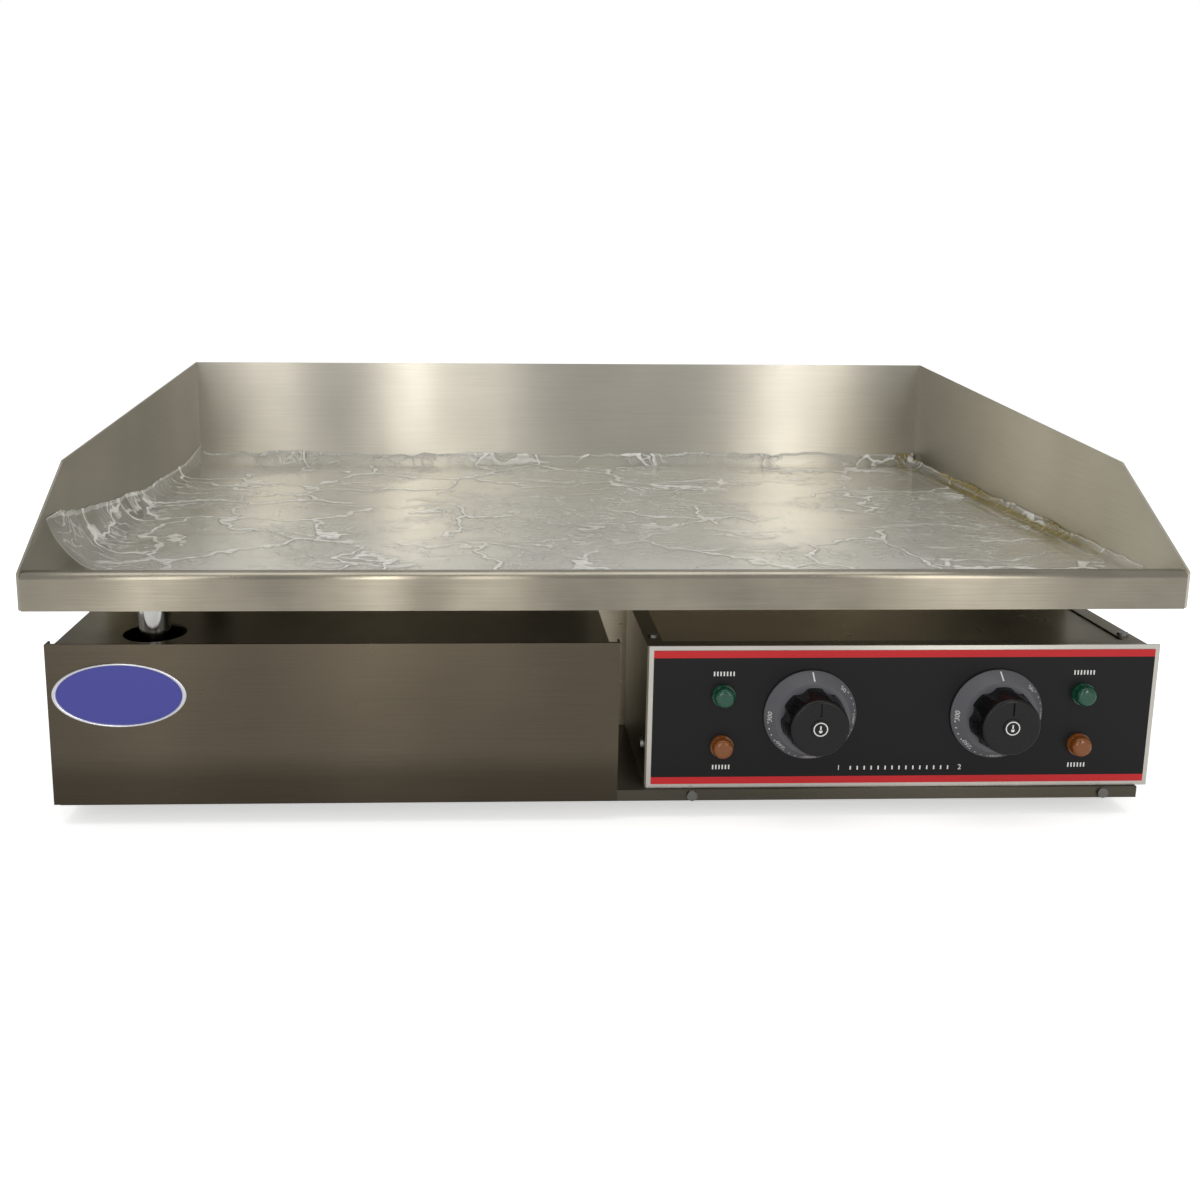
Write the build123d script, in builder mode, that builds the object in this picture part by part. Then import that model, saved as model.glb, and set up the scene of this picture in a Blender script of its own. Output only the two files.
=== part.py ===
from build123d import *
import os

# Flat top electric griddle with two heating zones, in millimetres.
# +Z is up, +X is the cook's right, and -Y is towards the cook.
# The origin is on the counter, below the middle of the griddle's outer box.

# ---- Overall sizes ------------------------------------------------------------------------------
top_width = 730.0           # across the two side guards
top_depth = 480.0           # front lip to back guard

# Heights, stacked from the counter up
foot_height = 12.0          # counter to the pan's lower edge
pan_flange = 7.5            # turned-down edge of the floor pan
body_height = 126.5         # floor pan to the underside of the cooking plate
plate_thickness = 8.0
lip_rise = 14.0             # lip above the cooking face
lip_height = 24.0           # front lip, top edge to bottom edge
knee_rise = 55.0            # bend of the side guard above the lip
guard_rise = 88.0           # back guard above the lip

# Setbacks behind the front face of the lip
drawer_setback = 6.0
pan_setback = 10.0
panel_setback = 12.0
bay_gap = 0.6               # between the drawer front's hem and the bay behind it
wall_setback = 120.0        # front wall of the body
knee_setback = 89.0
gutter_depth = 33.0         # gutter, front to back
body_back_inset = 15.0      # back of the body, in front of the back guard

# Widths across the front
body_inset = 14.0           # body side, inside the side guard
bay_inset = 2.0             # drawer bay side, inside the body side
bay_width = 349.0
drawer_lap = 4.4            # drawer front past the bay's left side
drawer_front_width = 360.0
box_width = 326.0           # control box, flush with the body's right side
panel_start = 1.0           # control panel's left edge, right of the box's left side
panel_width = 332.0

# Sheet thicknesses
sheet = 1.2                 # body, pan, bay, control box
guard_sheet = 1.5           # guards, lip and control panel
tray_sheet = 1.0
fold = 12.0                 # flange turned in at the edges of the body
lap = 10.0                  # gutter floor under the plate

# Front lip
lip_top = 12.0              # lip's flat top, front to back
lip_bend = 4.0              # outer radius of its bends

# Side guards
guard_toe_r = 2.0           # corners beside the lip
guard_knee_r = 5.0

# Compartments
bay_height = 100.0
box_height = 96.5
box_flange = 10.0
cover_gap = 0.3             # control box cover, inside the box's own sides
window_width = 170.0        # wiring window in the body, behind the control box
window_height = 74.0
window_sill = 8.0
drawer_front_drop = 5.3     # drawer front below the floor pan's top
drawer_front_height = 106.5
drawer_return = 8.0
drawer_return_lift = 2.0    # end returns start this far above the pan
panel_foot_gap = 0.3        # panel above the pan
panel_height = 96.6
panel_border = 3.0          # bare steel round the printed face
overlay_thickness = 0.5

# Knobs, on the panel's centre line
knob_offset_x = 61.0
knob_offset_z = 2.4
knob_gap = 0.8
skirt_r = 30.0
skirt_front_r = 24.0
skirt_depth = 8.0
skirt_wall = 2.0
skirt_rim = 1.0
grip_r = 21.0
grip_front_r = 18.5
grip_depth = 16.5
grip_lobes = 7
grip_edge = 2.0
flute_r = 8.0
flute_bite = 2.0
pointer_width = 1.2
cap_r = 6.0
cap_seat = 1.0              # depth of the cap's seat and of the pointer groove
cap_proud = 0.6
boss_r = 7.0
boss_length = 7.0
spindle_r = 3.0
spindle_flat = 1.2          # depth of the flat on the spindle
running_clearance = 0.05
spindle_in_body = 12.0
spindle_in_grip = 10.0
panel_hole_r = 5.0

# Pilot lamps
lamp_offset_x = 117.5
lamp_high_z = 15.4
lamp_low_z = -19.1
lamp_flange_r = 7.5
lamp_flange = 2.0
lens_r = 6.75
lens_length = 8.0
lens_wall = 1.5
holder_r = 5.5
holder_length = 26.0
lamp_clearance = 0.2
neon_r = 2.2
neon_length = 4.5
lamp_nut_flats = 14.0
lamp_nut_height = 3.0
tab_spacing = 6.0
tab_width = 4.0
tab_thickness = 0.8
tab_length = 6.0

# Thermostats
thermostat_width = 44.0
thermostat_height = 40.0
thermostat_depth = 28.0
thermostat_corner = 3.0
spindle_end_gap = 1.0
overlay_screw_gap = 1.0     # printed face, round the thermostat screws
thermostat_screw_r = 14.0   # from the spindle to each screw
screw_r = 2.0
screw_head_r = 3.6
screw_head = 1.8
screw_clearance = 0.3
screw_head_taper = 8.0
screw_grip = 3.6            # shank of a sheet screw
thermostat_screw_grip = 8.0
capillary_r = 1.2
capillary_bend = 8.0
capillary_gap = 8.0         # capillary drop behind the element's tail
capillary_drop = 10.0       # capillary below the spindle
bulb_r = 3.0
bulb_length = 90.0

# Drain
drain_setback = 34.0
drain_inset = 57.0          # tube axis from the drawer bay's left side
drain_r = 10.0
drain_wall = 1.5
drain_hole_r = 20.0
drain_dip = 3.5             # tube end below the top of the bay cover

# Drawer
runner_leg = 12.0
runner_lift = 8.5           # running face above the pan
runner_clearance = 0.3
tray_side_gap = 2.0
tray_height = 76.0
tray_back_gap = 6.0
badge_width = 84.0
badge_height = 42.0
badge_thickness = 1.2
badge_inset = 45.0          # middle of the badge from the drawer front's left edge
badge_drop = 33.0           # middle of the badge below the drawer front's top edge

# Heating
contact_gap = 0.1           # between round rods and the flat plate
element_r = 4.25
run_pitch = 46.0
run_count = 6
bend_r = 22.4
run_front = 55.0            # front bends behind the body's front wall
run_back = 25.0             # rear bends in front of the body's back
element_tail = 20.0         # down-turned ends behind the body's front wall
element_drop = 32.0
tail_bend = 12.0
pin_r = 2.0
pin_length = 8.0
bar_width = 25.0
bar_thickness = 3.0
bar_inset = 42.5            # first and last bars, from the element's bends
bar_overhang = 8.0
stud_r = 3.0
stud_length = 19.0
nut_flats = 10.0
nut_height = 5.0
blanket_gap = 2.0
blanket_thickness = 25.0
blanket_inset = 4.0
shield_front = 42.0         # shield's front edge behind the body's front wall
shield_back = 14.0
shield_side = 15.0
cutout_r = 8.0
cutout_height = 11.0
cutout_flange_r = 11.0
cutout_flange = 1.5

# Supply
gland_x = 285.0
gland_lift = 34.0
gland_r = 10.0
gland_bore_r = 5.5
gland_hex = 8.0
gland_hex_flats = 27.0
gland_dome = 18.0
gland_dome_r = 12.0
gland_round = 4.0
gland_thread = 12.0
gland_clearance = 0.2
lock_nut = 5.0
block_width = 66.0
block_depth = 24.0
block_height = 26.0
block_ways = 4
well_r = 4.0
well_depth = 6.0
well_screw_r = 3.5
well_screw = 3.0
block_gap = 70.0            # terminal block in front of the back panel
earth_x = 235.0
earth_grip = 3.6
earth_length = 14.0
earth_nut_flats = 7.0
earth_nut = 3.0
wire_r = 2.0
wire_bend = 10.0
supply_lift = 14.0          # supply wires above the pan
supply_turn_gap = 40.0      # between the two wires' turns
terminal_offset = 12.0      # thermostat terminals, beside the spindle
terminal_lift = 10.0
terminal_turn = 25.0        # supply wires turn up behind the thermostat

# Feet and fasteners
foot_r = 17.0
foot_base_r = 14.0
foot_inset_x = 41.0
foot_front = 62.0
foot_rear = 50.0
foot_screw_hole = 10.0
foot_screw_end_gap = 1.0
body_screw_inset = 24.0     # body screws, from the body's front and back
back_screw_inset = 20.0
back_panel_thirds = 3       # lower screws at a third of the width
pan_screw_inset = 30.0      # pan screws, from the control panel's ends
side_screw_setback = 12.0
side_screw_lift = 26.0
cover_screw_inset = 20.0
vent_lift = 10.0            # vents above the middle of the back panel
vent_length = 60.0
vent_height = 4.0
vent_columns = 6
vent_rows = 4
vent_pitch_x = 78.0
vent_pitch_z = 12.0

# Protective film over the cooking face
film_thickness = 0.5
film_gap = 0.3
film_front = 3.0            # behind the plate's front edge
film_rise_left = 38.0
film_rise_back = 18.0
film_rise_right = 12.0

# ---- Levels and lines worked out from the sizes -------------------------------------------------
pan_z = foot_height + pan_flange
plate_z = pan_z + body_height
cook_z = plate_z + plate_thickness
lip_z = cook_z + lip_rise
lip_bottom_z = lip_z - lip_height
knee_z = lip_z + knee_rise
guard_z = lip_z + guard_rise

knob_reach = overlay_thickness + knob_gap + skirt_depth + grip_depth + cap_proud - panel_setback
gland_reach = gland_hex + gland_dome - body_back_inset
lip_y = (knob_reach - gland_reach - top_depth) / 2
rear_y = lip_y + top_depth
back_y = rear_y - body_back_inset
wall_y = lip_y + wall_setback
pan_y = lip_y + pan_setback
panel_y = lip_y + panel_setback
drawer_y = lip_y + drawer_setback
plate_y = lip_y + lip_top + gutter_depth

top_x = top_width / 2
body_x = top_x - body_inset
bay_left = -body_x + bay_inset
bay_right = bay_left + bay_width
drawer_left = bay_left - drawer_lap
box_right = body_x
box_left = box_right - box_width
panel_left = box_left + panel_start
panel_right = panel_left + panel_width
panel_x = (panel_left + panel_right) / 2
panel_bottom = pan_z + panel_foot_gap
panel_top = panel_bottom + panel_height
panel_z = (panel_bottom + panel_top) / 2
panel_back = panel_y + guard_sheet
overlay_y = panel_y - overlay_thickness
bay_z = pan_z + bay_height
box_z = pan_z + box_height
knob_z = panel_z + knob_offset_z
side_names = {"left": -1, "right": 1}


def block(x_range, y_range, z_range, mode=Mode.ADD):
    """One straight-sided block in the part being built, between three pairs of limits."""
    sizes = [limits[1] - limits[0] for limits in (x_range, y_range, z_range)]
    middle = [(limits[0] + limits[1]) / 2 for limits in (x_range, y_range, z_range)]
    with Locations(tuple(middle)):
        Box(*sizes, mode=mode)


def pan_head(point, direction, shank_length):
    """One screw in the part being built: its head stands on point, its shank runs along direction."""
    seat = Plane(origin=point, z_dir=direction)
    with BuildSketch(seat) as shank:
        Circle(screw_r)
    extrude(shank.sketch, amount=shank_length)
    with BuildSketch(seat) as head:
        Circle(screw_head_r)
    extrude(head.sketch, amount=-screw_head, taper=screw_head_taper)


os.makedirs("parts", exist_ok=True)

# ---- Floor pan and feet -------------------------------------------------------------------------
foot_points = [
    (side * (body_x - foot_inset_x), y)
    for y in (pan_y + foot_front, back_y - foot_rear)
    for side in (-1, 1)
]
body_screw_points = [
    (side * (body_x - fold / 2), y)
    for y in (wall_y + body_screw_inset, (wall_y + back_y) / 2, back_y - body_screw_inset)
    for side in (-1, 1)
]
pan_screw_xs = (panel_left + pan_screw_inset, panel_right - pan_screw_inset)
pan_screw_z = foot_height + pan_flange / 2

with BuildPart() as base_pan:
    block((-body_x, body_x), (pan_y, back_y), (foot_height, pan_z))
    block(
        (-body_x + sheet, body_x - sheet),
        (pan_y + sheet, back_y - sheet),
        (foot_height, pan_z - sheet),
        mode=Mode.SUBTRACT,
    )
    with BuildSketch(Plane.XY.offset(pan_z)):
        with Locations(*foot_points, *body_screw_points):
            Circle(screw_r + screw_clearance)
    extrude(amount=-sheet, mode=Mode.SUBTRACT)
    with BuildSketch(Plane.XZ.offset(-pan_y)):
        with Locations(*[(x, pan_screw_z) for x in pan_screw_xs]):
            Circle(screw_r + screw_clearance)
    extrude(amount=-sheet, mode=Mode.SUBTRACT)
base_pan.part.label = "base_pan"
export_step(base_pan.part, "parts/base_pan.step")

foot_names = ["foot_front_left", "foot_front_right", "foot_rear_left", "foot_rear_right"]
for foot_name, (x, y) in zip(foot_names, foot_points):
    with BuildPart() as foot:
        with BuildSketch(Plane((x, y, 0))):
            Circle(foot_base_r)
        with BuildSketch(Plane((x, y, pan_z - sheet))):
            Circle(foot_r)
        loft()
        with BuildSketch(Plane((x, y, pan_z - sheet))):
            Circle(screw_r + running_clearance)
        extrude(amount=-foot_screw_hole, mode=Mode.SUBTRACT)
    foot.part.label = foot_name
    export_step(foot.part, f"parts/{foot_name}.step")

# ---- Body shell and back panel ------------------------------------------------------------------
window_x = (panel_x - window_width / 2, panel_x + window_width / 2)
window_z = (pan_z + window_sill, pan_z + window_sill + window_height)
with BuildPart() as body_shell:
    block((-body_x, body_x), (wall_y, back_y - sheet), (pan_z, plate_z))
    block(
        (-body_x + sheet, body_x - sheet),
        (wall_y + sheet, back_y - 2 * sheet),
        (pan_z + sheet, plate_z - sheet),
        mode=Mode.SUBTRACT,
    )
    block(
        (-body_x + fold, body_x - fold),
        (wall_y + fold, back_y - sheet - fold),
        (pan_z, plate_z),
        mode=Mode.SUBTRACT,
    )
    block(
        (-body_x + fold, body_x - fold),
        (back_y - 2 * sheet, back_y - sheet),
        (pan_z + fold, plate_z - fold),
        mode=Mode.SUBTRACT,
    )
    block(window_x, (wall_y, wall_y + sheet), window_z, mode=Mode.SUBTRACT)
    with BuildSketch(Plane.XY.offset(pan_z + sheet)):
        with Locations(*body_screw_points):
            Circle(screw_r + screw_clearance)
    extrude(amount=-sheet, mode=Mode.SUBTRACT)
body_shell.part.label = "body_shell"
export_step(body_shell.part, "parts/body_shell.step")

gland_z = pan_z + gland_lift
vent_z = (pan_z + plate_z) / 2 + vent_lift
back_screw_points = [
    (x, z)
    for x in (-body_x + fold / 2, body_x - fold / 2)
    for z in (pan_z + back_screw_inset, plate_z - back_screw_inset)
]
back_screw_points += [(side * body_x / back_panel_thirds, pan_z + fold / 2) for side in (-1, 1)]
with BuildPart() as back_panel:
    block((-body_x, body_x), (back_y - sheet, back_y), (pan_z, plate_z))
    with BuildSketch(Plane.XZ.offset(-back_y)):
        with Locations((-body_x / back_panel_thirds, vent_z)):
            with GridLocations(vent_pitch_x, vent_pitch_z, vent_columns, vent_rows):
                SlotOverall(vent_length, vent_height)
        with Locations((gland_x, gland_z)):
            Circle(gland_r + gland_clearance)
        with Locations((earth_x, gland_z), *back_screw_points):
            Circle(screw_r + screw_clearance)
    extrude(amount=sheet, mode=Mode.SUBTRACT)
back_panel.part.label = "back_panel"
export_step(back_panel.part, "parts/back_panel.step")

# ---- Cooking plate, gutter, lip and guards ------------------------------------------------------
drain_x = bay_left + drain_inset
drain_y = lip_y + drain_setback
inner_x = top_x - guard_sheet

with BuildPart() as griddle_plate:
    block((-inner_x, inner_x), (plate_y, rear_y - guard_sheet), (plate_z, cook_z))
griddle_plate.part.label = "griddle_plate"
export_step(griddle_plate.part, "parts/griddle_plate.step")

with BuildPart() as grease_gutter:
    block(
        (-inner_x, inner_x),
        (lip_y + lip_top - guard_sheet, plate_y + lap),
        (plate_z - sheet, plate_z),
    )
    with BuildSketch(Plane.XY.offset(plate_z)):
        with Locations((drain_x, drain_y)):
            Circle(drain_r - drain_wall)
    extrude(amount=-sheet, mode=Mode.SUBTRACT)
grease_gutter.part.label = "grease_gutter"
export_step(grease_gutter.part, "parts/grease_gutter.step")

with BuildPart() as drain_tube:
    with BuildSketch(Plane.XY.offset(bay_z - drain_dip)):
        with Locations((drain_x, drain_y)):
            Circle(drain_r)
            Circle(drain_r - drain_wall, mode=Mode.SUBTRACT)
    extrude(amount=plate_z - sheet - bay_z + drain_dip)
drain_tube.part.label = "drain_tube"
export_step(drain_tube.part, "parts/drain_tube.step")

# The lip is one folded rail: a front face, a flat top, and an inner wall down to the gutter.
with BuildPart() as front_lip:
    with BuildSketch(Plane.YZ.offset(-inner_x)):
        with BuildLine():
            front_foot = (lip_y, lip_bottom_z)
            front_top = (lip_y, lip_z)
            inner_top = (lip_y + lip_top, lip_z)
            inner_foot = (lip_y + lip_top, lip_bottom_z)
            FilletPolyline(front_foot, front_top, inner_top, inner_foot, radius=lip_bend)
            Line(inner_foot, front_foot)
        make_face()
        with BuildLine(mode=Mode.PRIVATE) as hollow_line:
            near = lip_y + guard_sheet
            far = lip_y + lip_top - guard_sheet
            under = lip_z - guard_sheet
            FilletPolyline(
                (near, lip_bottom_z), (near, under), (far, under), (far, lip_bottom_z),
                radius=lip_bend - guard_sheet,
            )
            Line((far, lip_bottom_z), (near, lip_bottom_z))
        add(make_face(hollow_line.edges(), mode=Mode.PRIVATE), mode=Mode.SUBTRACT)
    extrude(amount=2 * inner_x)
    block(
        (-inner_x, inner_x),
        (lip_y + lip_top - guard_sheet, lip_y + lip_top),
        (lip_bottom_z, plate_z),
        mode=Mode.SUBTRACT,
    )
front_lip.part.label = "front_lip"
export_step(front_lip.part, "parts/front_lip.step")

for side_name, side in side_names.items():
    with BuildPart() as side_guard:
        with BuildSketch(Plane.YZ.offset(inner_x if side > 0 else -top_x)) as outline:
            with BuildLine():
                Polyline(
                    (lip_y, lip_bottom_z), (lip_y, lip_z), (lip_y + knee_setback, knee_z),
                    (rear_y, guard_z), (rear_y, lip_bottom_z), close=True,
                )
            make_face()
            fillet(outline.vertices().sort_by(Axis.X)[0:2], guard_toe_r)
            fillet(outline.vertices().group_by(Axis.X)[-2], guard_knee_r)
        extrude(amount=guard_sheet)
    side_guard.part.label = f"{side_name}_guard"
    export_step(side_guard.part, f"parts/{side_name}_guard.step")

with BuildPart() as back_guard:
    block((-inner_x, inner_x), (rear_y - guard_sheet, rear_y), (lip_bottom_z, guard_z))
back_guard.part.label = "back_guard"
export_step(back_guard.part, "parts/back_guard.step")

# A crumpled clear film lies over the cooking face and stands up a little along three sides.
film_z = cook_z + film_gap
film_x = inner_x - film_gap
film_back_y = rear_y - guard_sheet - film_gap
film_start_y = plate_y + film_front
with BuildPart() as protective_film:
    block((-film_x, film_x), (film_start_y, film_back_y), (film_z, film_z + film_thickness))
    block(
        (-film_x, -film_x + film_thickness),
        (film_start_y, film_back_y),
        (film_z, film_z + film_rise_left),
    )
    block(
        (film_x - film_thickness, film_x),
        (film_start_y, film_back_y),
        (film_z, film_z + film_rise_right),
    )
    block(
        (-film_x, film_x),
        (film_back_y - film_thickness, film_back_y),
        (film_z, film_z + film_rise_back),
    )
    # The left rise is cut off along a slope, so that it stays below the guard's own front slope.
    with BuildSketch(Plane.YZ.offset(-film_x)):
        with BuildLine():
            slope_top = film_z + film_rise_left
            Polyline(
                (film_start_y, film_z + film_thickness), (film_start_y, slope_top),
                (film_start_y + film_rise_left, slope_top), close=True,
            )
        make_face()
    extrude(amount=film_thickness, mode=Mode.SUBTRACT)
protective_film.part.label = "protective_film"
export_step(protective_film.part, "parts/protective_film.step")

# ---- Drawer bay, runners and grease drawer ------------------------------------------------------
bay_y = drawer_y + 2 * sheet + bay_gap
with BuildPart() as drawer_bay_cover:
    block((bay_left, bay_right), (bay_y, wall_y), (pan_z, bay_z))
    block(
        (bay_left + sheet, bay_right - sheet),
        (bay_y, wall_y),
        (pan_z, bay_z - sheet),
        mode=Mode.SUBTRACT,
    )
    with BuildSketch(Plane.XY.offset(bay_z)):
        with Locations((drain_x, drain_y)):
            Circle(drain_hole_r)
    extrude(amount=-sheet, mode=Mode.SUBTRACT)
drawer_bay_cover.part.label = "drawer_bay_cover"
export_step(drawer_bay_cover.part, "parts/drawer_bay_cover.step")

runner_z = pan_z + runner_lift
runner_walls = {"left": (bay_left + sheet, 1), "right": (bay_right - sheet, -1)}
for side_name, (x, inward) in runner_walls.items():
    with BuildPart() as runner:
        with BuildSketch(Plane.XZ.offset(-bay_y - runner_leg)):
            with BuildLine():
                Polyline(
                    (x, runner_z - sheet), (x + inward * runner_leg, runner_z - sheet),
                    (x + inward * runner_leg, runner_z), (x + inward * sheet, runner_z),
                    (x + inward * sheet, runner_z + runner_leg), (x, runner_z + runner_leg),
                    close=True,
                )
            make_face()
        extrude(amount=-(wall_y - bay_y - runner_leg))
    runner.part.label = f"{side_name}_runner"
    export_step(runner.part, f"parts/{side_name}_runner.step")

drawer_right = drawer_left + drawer_front_width
drawer_bottom = pan_z - drawer_front_drop
drawer_top = drawer_bottom + drawer_front_height
with BuildPart() as drawer_front:
    block(
        (drawer_left, drawer_right),
        (drawer_y, drawer_y + drawer_return),
        (pan_z + drawer_return_lift, drawer_top),
    )
    block(
        (drawer_left + sheet, drawer_right - sheet),
        (drawer_y + sheet, drawer_y + drawer_return),
        (pan_z + drawer_return_lift, drawer_top),
        mode=Mode.SUBTRACT,
    )
    block((drawer_left, drawer_right), (drawer_y, drawer_y + sheet), (drawer_bottom, drawer_top))
    block(
        (drawer_left + sheet, drawer_right - sheet),
        (drawer_y + sheet, drawer_y + 2 * sheet),
        (drawer_top - drawer_return, drawer_top),
    )
drawer_front.part.label = "drawer_front"
export_step(drawer_front.part, "parts/drawer_front.step")

tray_x = (bay_left + sheet + tray_side_gap, bay_right - sheet - tray_side_gap)
tray_y = (drawer_y + sheet, wall_y - tray_back_gap)
tray_z = (runner_z + runner_clearance, runner_z + runner_clearance + tray_height)
with BuildPart() as drawer_tray:
    block(tray_x, tray_y, tray_z)
    block(
        (tray_x[0] + tray_sheet, tray_x[1] - tray_sheet),
        (tray_y[0] + tray_sheet, tray_y[1] - tray_sheet),
        (tray_z[0] + tray_sheet, tray_z[1]),
        mode=Mode.SUBTRACT,
    )
drawer_tray.part.label = "drawer_tray"
export_step(drawer_tray.part, "parts/drawer_tray.step")

badge_x = drawer_left + badge_inset
badge_z = drawer_top - badge_drop
with BuildPart() as badge_plate:
    with BuildSketch(Plane.XZ.offset(-drawer_y)):
        with Locations((badge_x, badge_z)):
            Ellipse(badge_width / 2, badge_height / 2)
    extrude(amount=badge_thickness)
badge_plate.part.label = "badge_plate"
export_step(badge_plate.part, "parts/badge_plate.step")

# ---- Control box, cover, panel and printed face -------------------------------------------------
box_y = panel_back
side_screw = (box_y + side_screw_setback, pan_z + side_screw_lift)
box_cover_z = box_z - sheet
cover_screw_points = [
    (x, y)
    for x in (box_left + box_flange / 2 + sheet, box_right - box_flange / 2 - sheet)
    for y in (box_y + cover_screw_inset, wall_y - cover_screw_inset)
]
with BuildPart() as control_box_shell:
    block((box_left, box_right), (box_y, wall_y), (pan_z, box_z))
    block(
        (box_left + sheet, box_right - sheet),
        (box_y, wall_y),
        (pan_z + sheet, box_z - sheet),
        mode=Mode.SUBTRACT,
    )
    block(
        (box_left + box_flange + sheet, box_right - box_flange - sheet),
        (box_y + box_flange, wall_y),
        (box_z - sheet, box_z),
        mode=Mode.SUBTRACT,
    )
    with BuildSketch(Plane.XY.offset(box_z)):
        with Locations(*cover_screw_points):
            Circle(screw_r + screw_clearance)
    extrude(amount=-sheet, mode=Mode.SUBTRACT)
    with BuildSketch(Plane.YZ.offset(box_left)):
        with Locations(side_screw):
            Circle(screw_r + screw_clearance)
    extrude(amount=sheet, mode=Mode.SUBTRACT)
    # the foot screw's head stands in a round hole in the box's floor
    with BuildSketch(Plane.XY.offset(pan_z)):
        with Locations(foot_points[1]):
            Circle(screw_head_r + screw_clearance)
    extrude(amount=sheet, mode=Mode.SUBTRACT)
control_box_shell.part.label = "control_box_shell"
export_step(control_box_shell.part, "parts/control_box_shell.step")

with BuildPart() as control_box_cover:
    block(
        (box_left + sheet + cover_gap, box_right - sheet - cover_gap),
        (box_y + cover_gap, wall_y),
        (box_cover_z - sheet, box_cover_z),
    )
    with BuildSketch(Plane.XY.offset(box_cover_z)):
        with Locations(*cover_screw_points):
            Circle(screw_r + screw_clearance)
    extrude(amount=-sheet, mode=Mode.SUBTRACT)
control_box_cover.part.label = "control_box_cover"
export_step(control_box_cover.part, "parts/control_box_cover.step")

# The same pan-head screw holds the feet, the body, the back panel and the control box.
with BuildPart() as case_screws:
    for x, y in foot_points:
        pan_head((x, y, pan_z), (0, 0, -1), sheet + foot_screw_hole - foot_screw_end_gap)
    for x, y in body_screw_points:
        pan_head((x, y, pan_z + sheet), (0, 0, -1), screw_grip)
    for x, z in back_screw_points:
        pan_head((x, back_y, z), (0, -1, 0), sheet)
    for x, y in cover_screw_points:
        pan_head((x, y, box_z), (0, 0, -1), screw_grip)
    pan_head((box_left, side_screw[0], side_screw[1]), (1, 0, 0), screw_grip)
    for x in pan_screw_xs:
        pan_head((x, pan_y, pan_screw_z), (0, 1, 0), screw_grip)
case_screws.part.label = "case_screws"
export_step(case_screws.part, "parts/case_screws.step")

knob_xs = {name: panel_x + side * knob_offset_x for name, side in side_names.items()}
lamps = {
    "left_power": (panel_x - lamp_offset_x, panel_z + lamp_high_z),
    "left_heat": (panel_x - lamp_offset_x, panel_z + lamp_low_z),
    "right_power": (panel_x + lamp_offset_x, panel_z + lamp_high_z),
    "right_heat": (panel_x + lamp_offset_x, panel_z + lamp_low_z),
}
thermostat_screw_points = [
    (knob_x + side * thermostat_screw_r, knob_z) for knob_x in knob_xs.values() for side in (-1, 1)
]
with BuildPart() as control_panel:
    block((panel_left, panel_right), (panel_y, panel_back), (panel_bottom, panel_top))
    with BuildSketch(Plane.XZ.offset(-panel_back)):
        with Locations(*[(x, knob_z) for x in knob_xs.values()]):
            Circle(panel_hole_r)
        with Locations(*lamps.values()):
            Circle(holder_r + lamp_clearance)
        with Locations(*thermostat_screw_points):
            Circle(screw_r + screw_clearance)
    extrude(amount=guard_sheet, mode=Mode.SUBTRACT)
control_panel.part.label = "control_panel"
export_step(control_panel.part, "parts/control_panel.step")

with BuildPart() as panel_overlay:
    block(
        (panel_left + panel_border, panel_right - panel_border),
        (overlay_y, panel_y),
        (panel_bottom + panel_border, panel_top - panel_border),
    )
    with BuildSketch(Plane.XZ.offset(-panel_y)):
        with Locations(*[(x, knob_z) for x in knob_xs.values()]):
            Circle(thermostat_screw_r + screw_head_r + overlay_screw_gap)
        with Locations(*lamps.values()):
            Circle(holder_r + lamp_clearance)
    extrude(amount=overlay_thickness, mode=Mode.SUBTRACT)
panel_overlay.part.label = "panel_overlay"
export_step(panel_overlay.part, "parts/panel_overlay.step")

# ---- Pilot lamps --------------------------------------------------------------------------------
for lamp_name, (x, z) in lamps.items():
    with BuildPart() as lens:
        with BuildSketch(Plane.XZ.offset(-overlay_y)):
            with Locations((x, z)):
                Circle(lamp_flange_r)
        extrude(amount=lamp_flange)
        with BuildSketch(Plane.XZ.offset(-overlay_y + lamp_flange)):
            with Locations((x, z)):
                Circle(lens_r)
        extrude(amount=lens_length - lamp_flange)
        fillet(lens.faces().sort_by(Axis.Y)[0].edges(), lens_r / 2)
        with BuildSketch(Plane.XZ.offset(-overlay_y)):
            with Locations((x, z)):
                Circle(lens_r - lens_wall)
        extrude(amount=lens_length - 2 * lens_wall, mode=Mode.SUBTRACT)
    lens.part.label = f"{lamp_name}_lens"
    export_step(lens.part, f"parts/{lamp_name}_lens.step")

with BuildPart() as lamp_holders:
    for x, z in lamps.values():
        with BuildSketch(Plane.XZ.offset(-overlay_y)):
            with Locations((x, z)):
                Circle(holder_r)
        extrude(amount=-holder_length)
        with BuildSketch(Plane.XZ.offset(-overlay_y)):
            with Locations((x, z)):
                Circle(neon_r)
        extrude(amount=neon_length)
        with BuildSketch(Plane.XZ.offset(-overlay_y - holder_length)):
            with Locations((x - tab_spacing / 2, z), (x + tab_spacing / 2, z)):
                Rectangle(tab_thickness, tab_width)
        extrude(amount=-tab_length)
lamp_holders.part.label = "lamp_holders"
export_step(lamp_holders.part, "parts/lamp_holders.step")

with BuildPart() as lamp_nuts:
    for x, z in lamps.values():
        with BuildSketch(Plane.XZ.offset(-panel_back)):
            with Locations((x, z)):
                RegularPolygon(lamp_nut_flats / 2, 6, major_radius=False)
                Circle(holder_r + running_clearance, mode=Mode.SUBTRACT)
        extrude(amount=-lamp_nut_height)
lamp_nuts.part.label = "lamp_nuts"
export_step(lamp_nuts.part, "parts/lamp_nuts.step")

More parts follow.
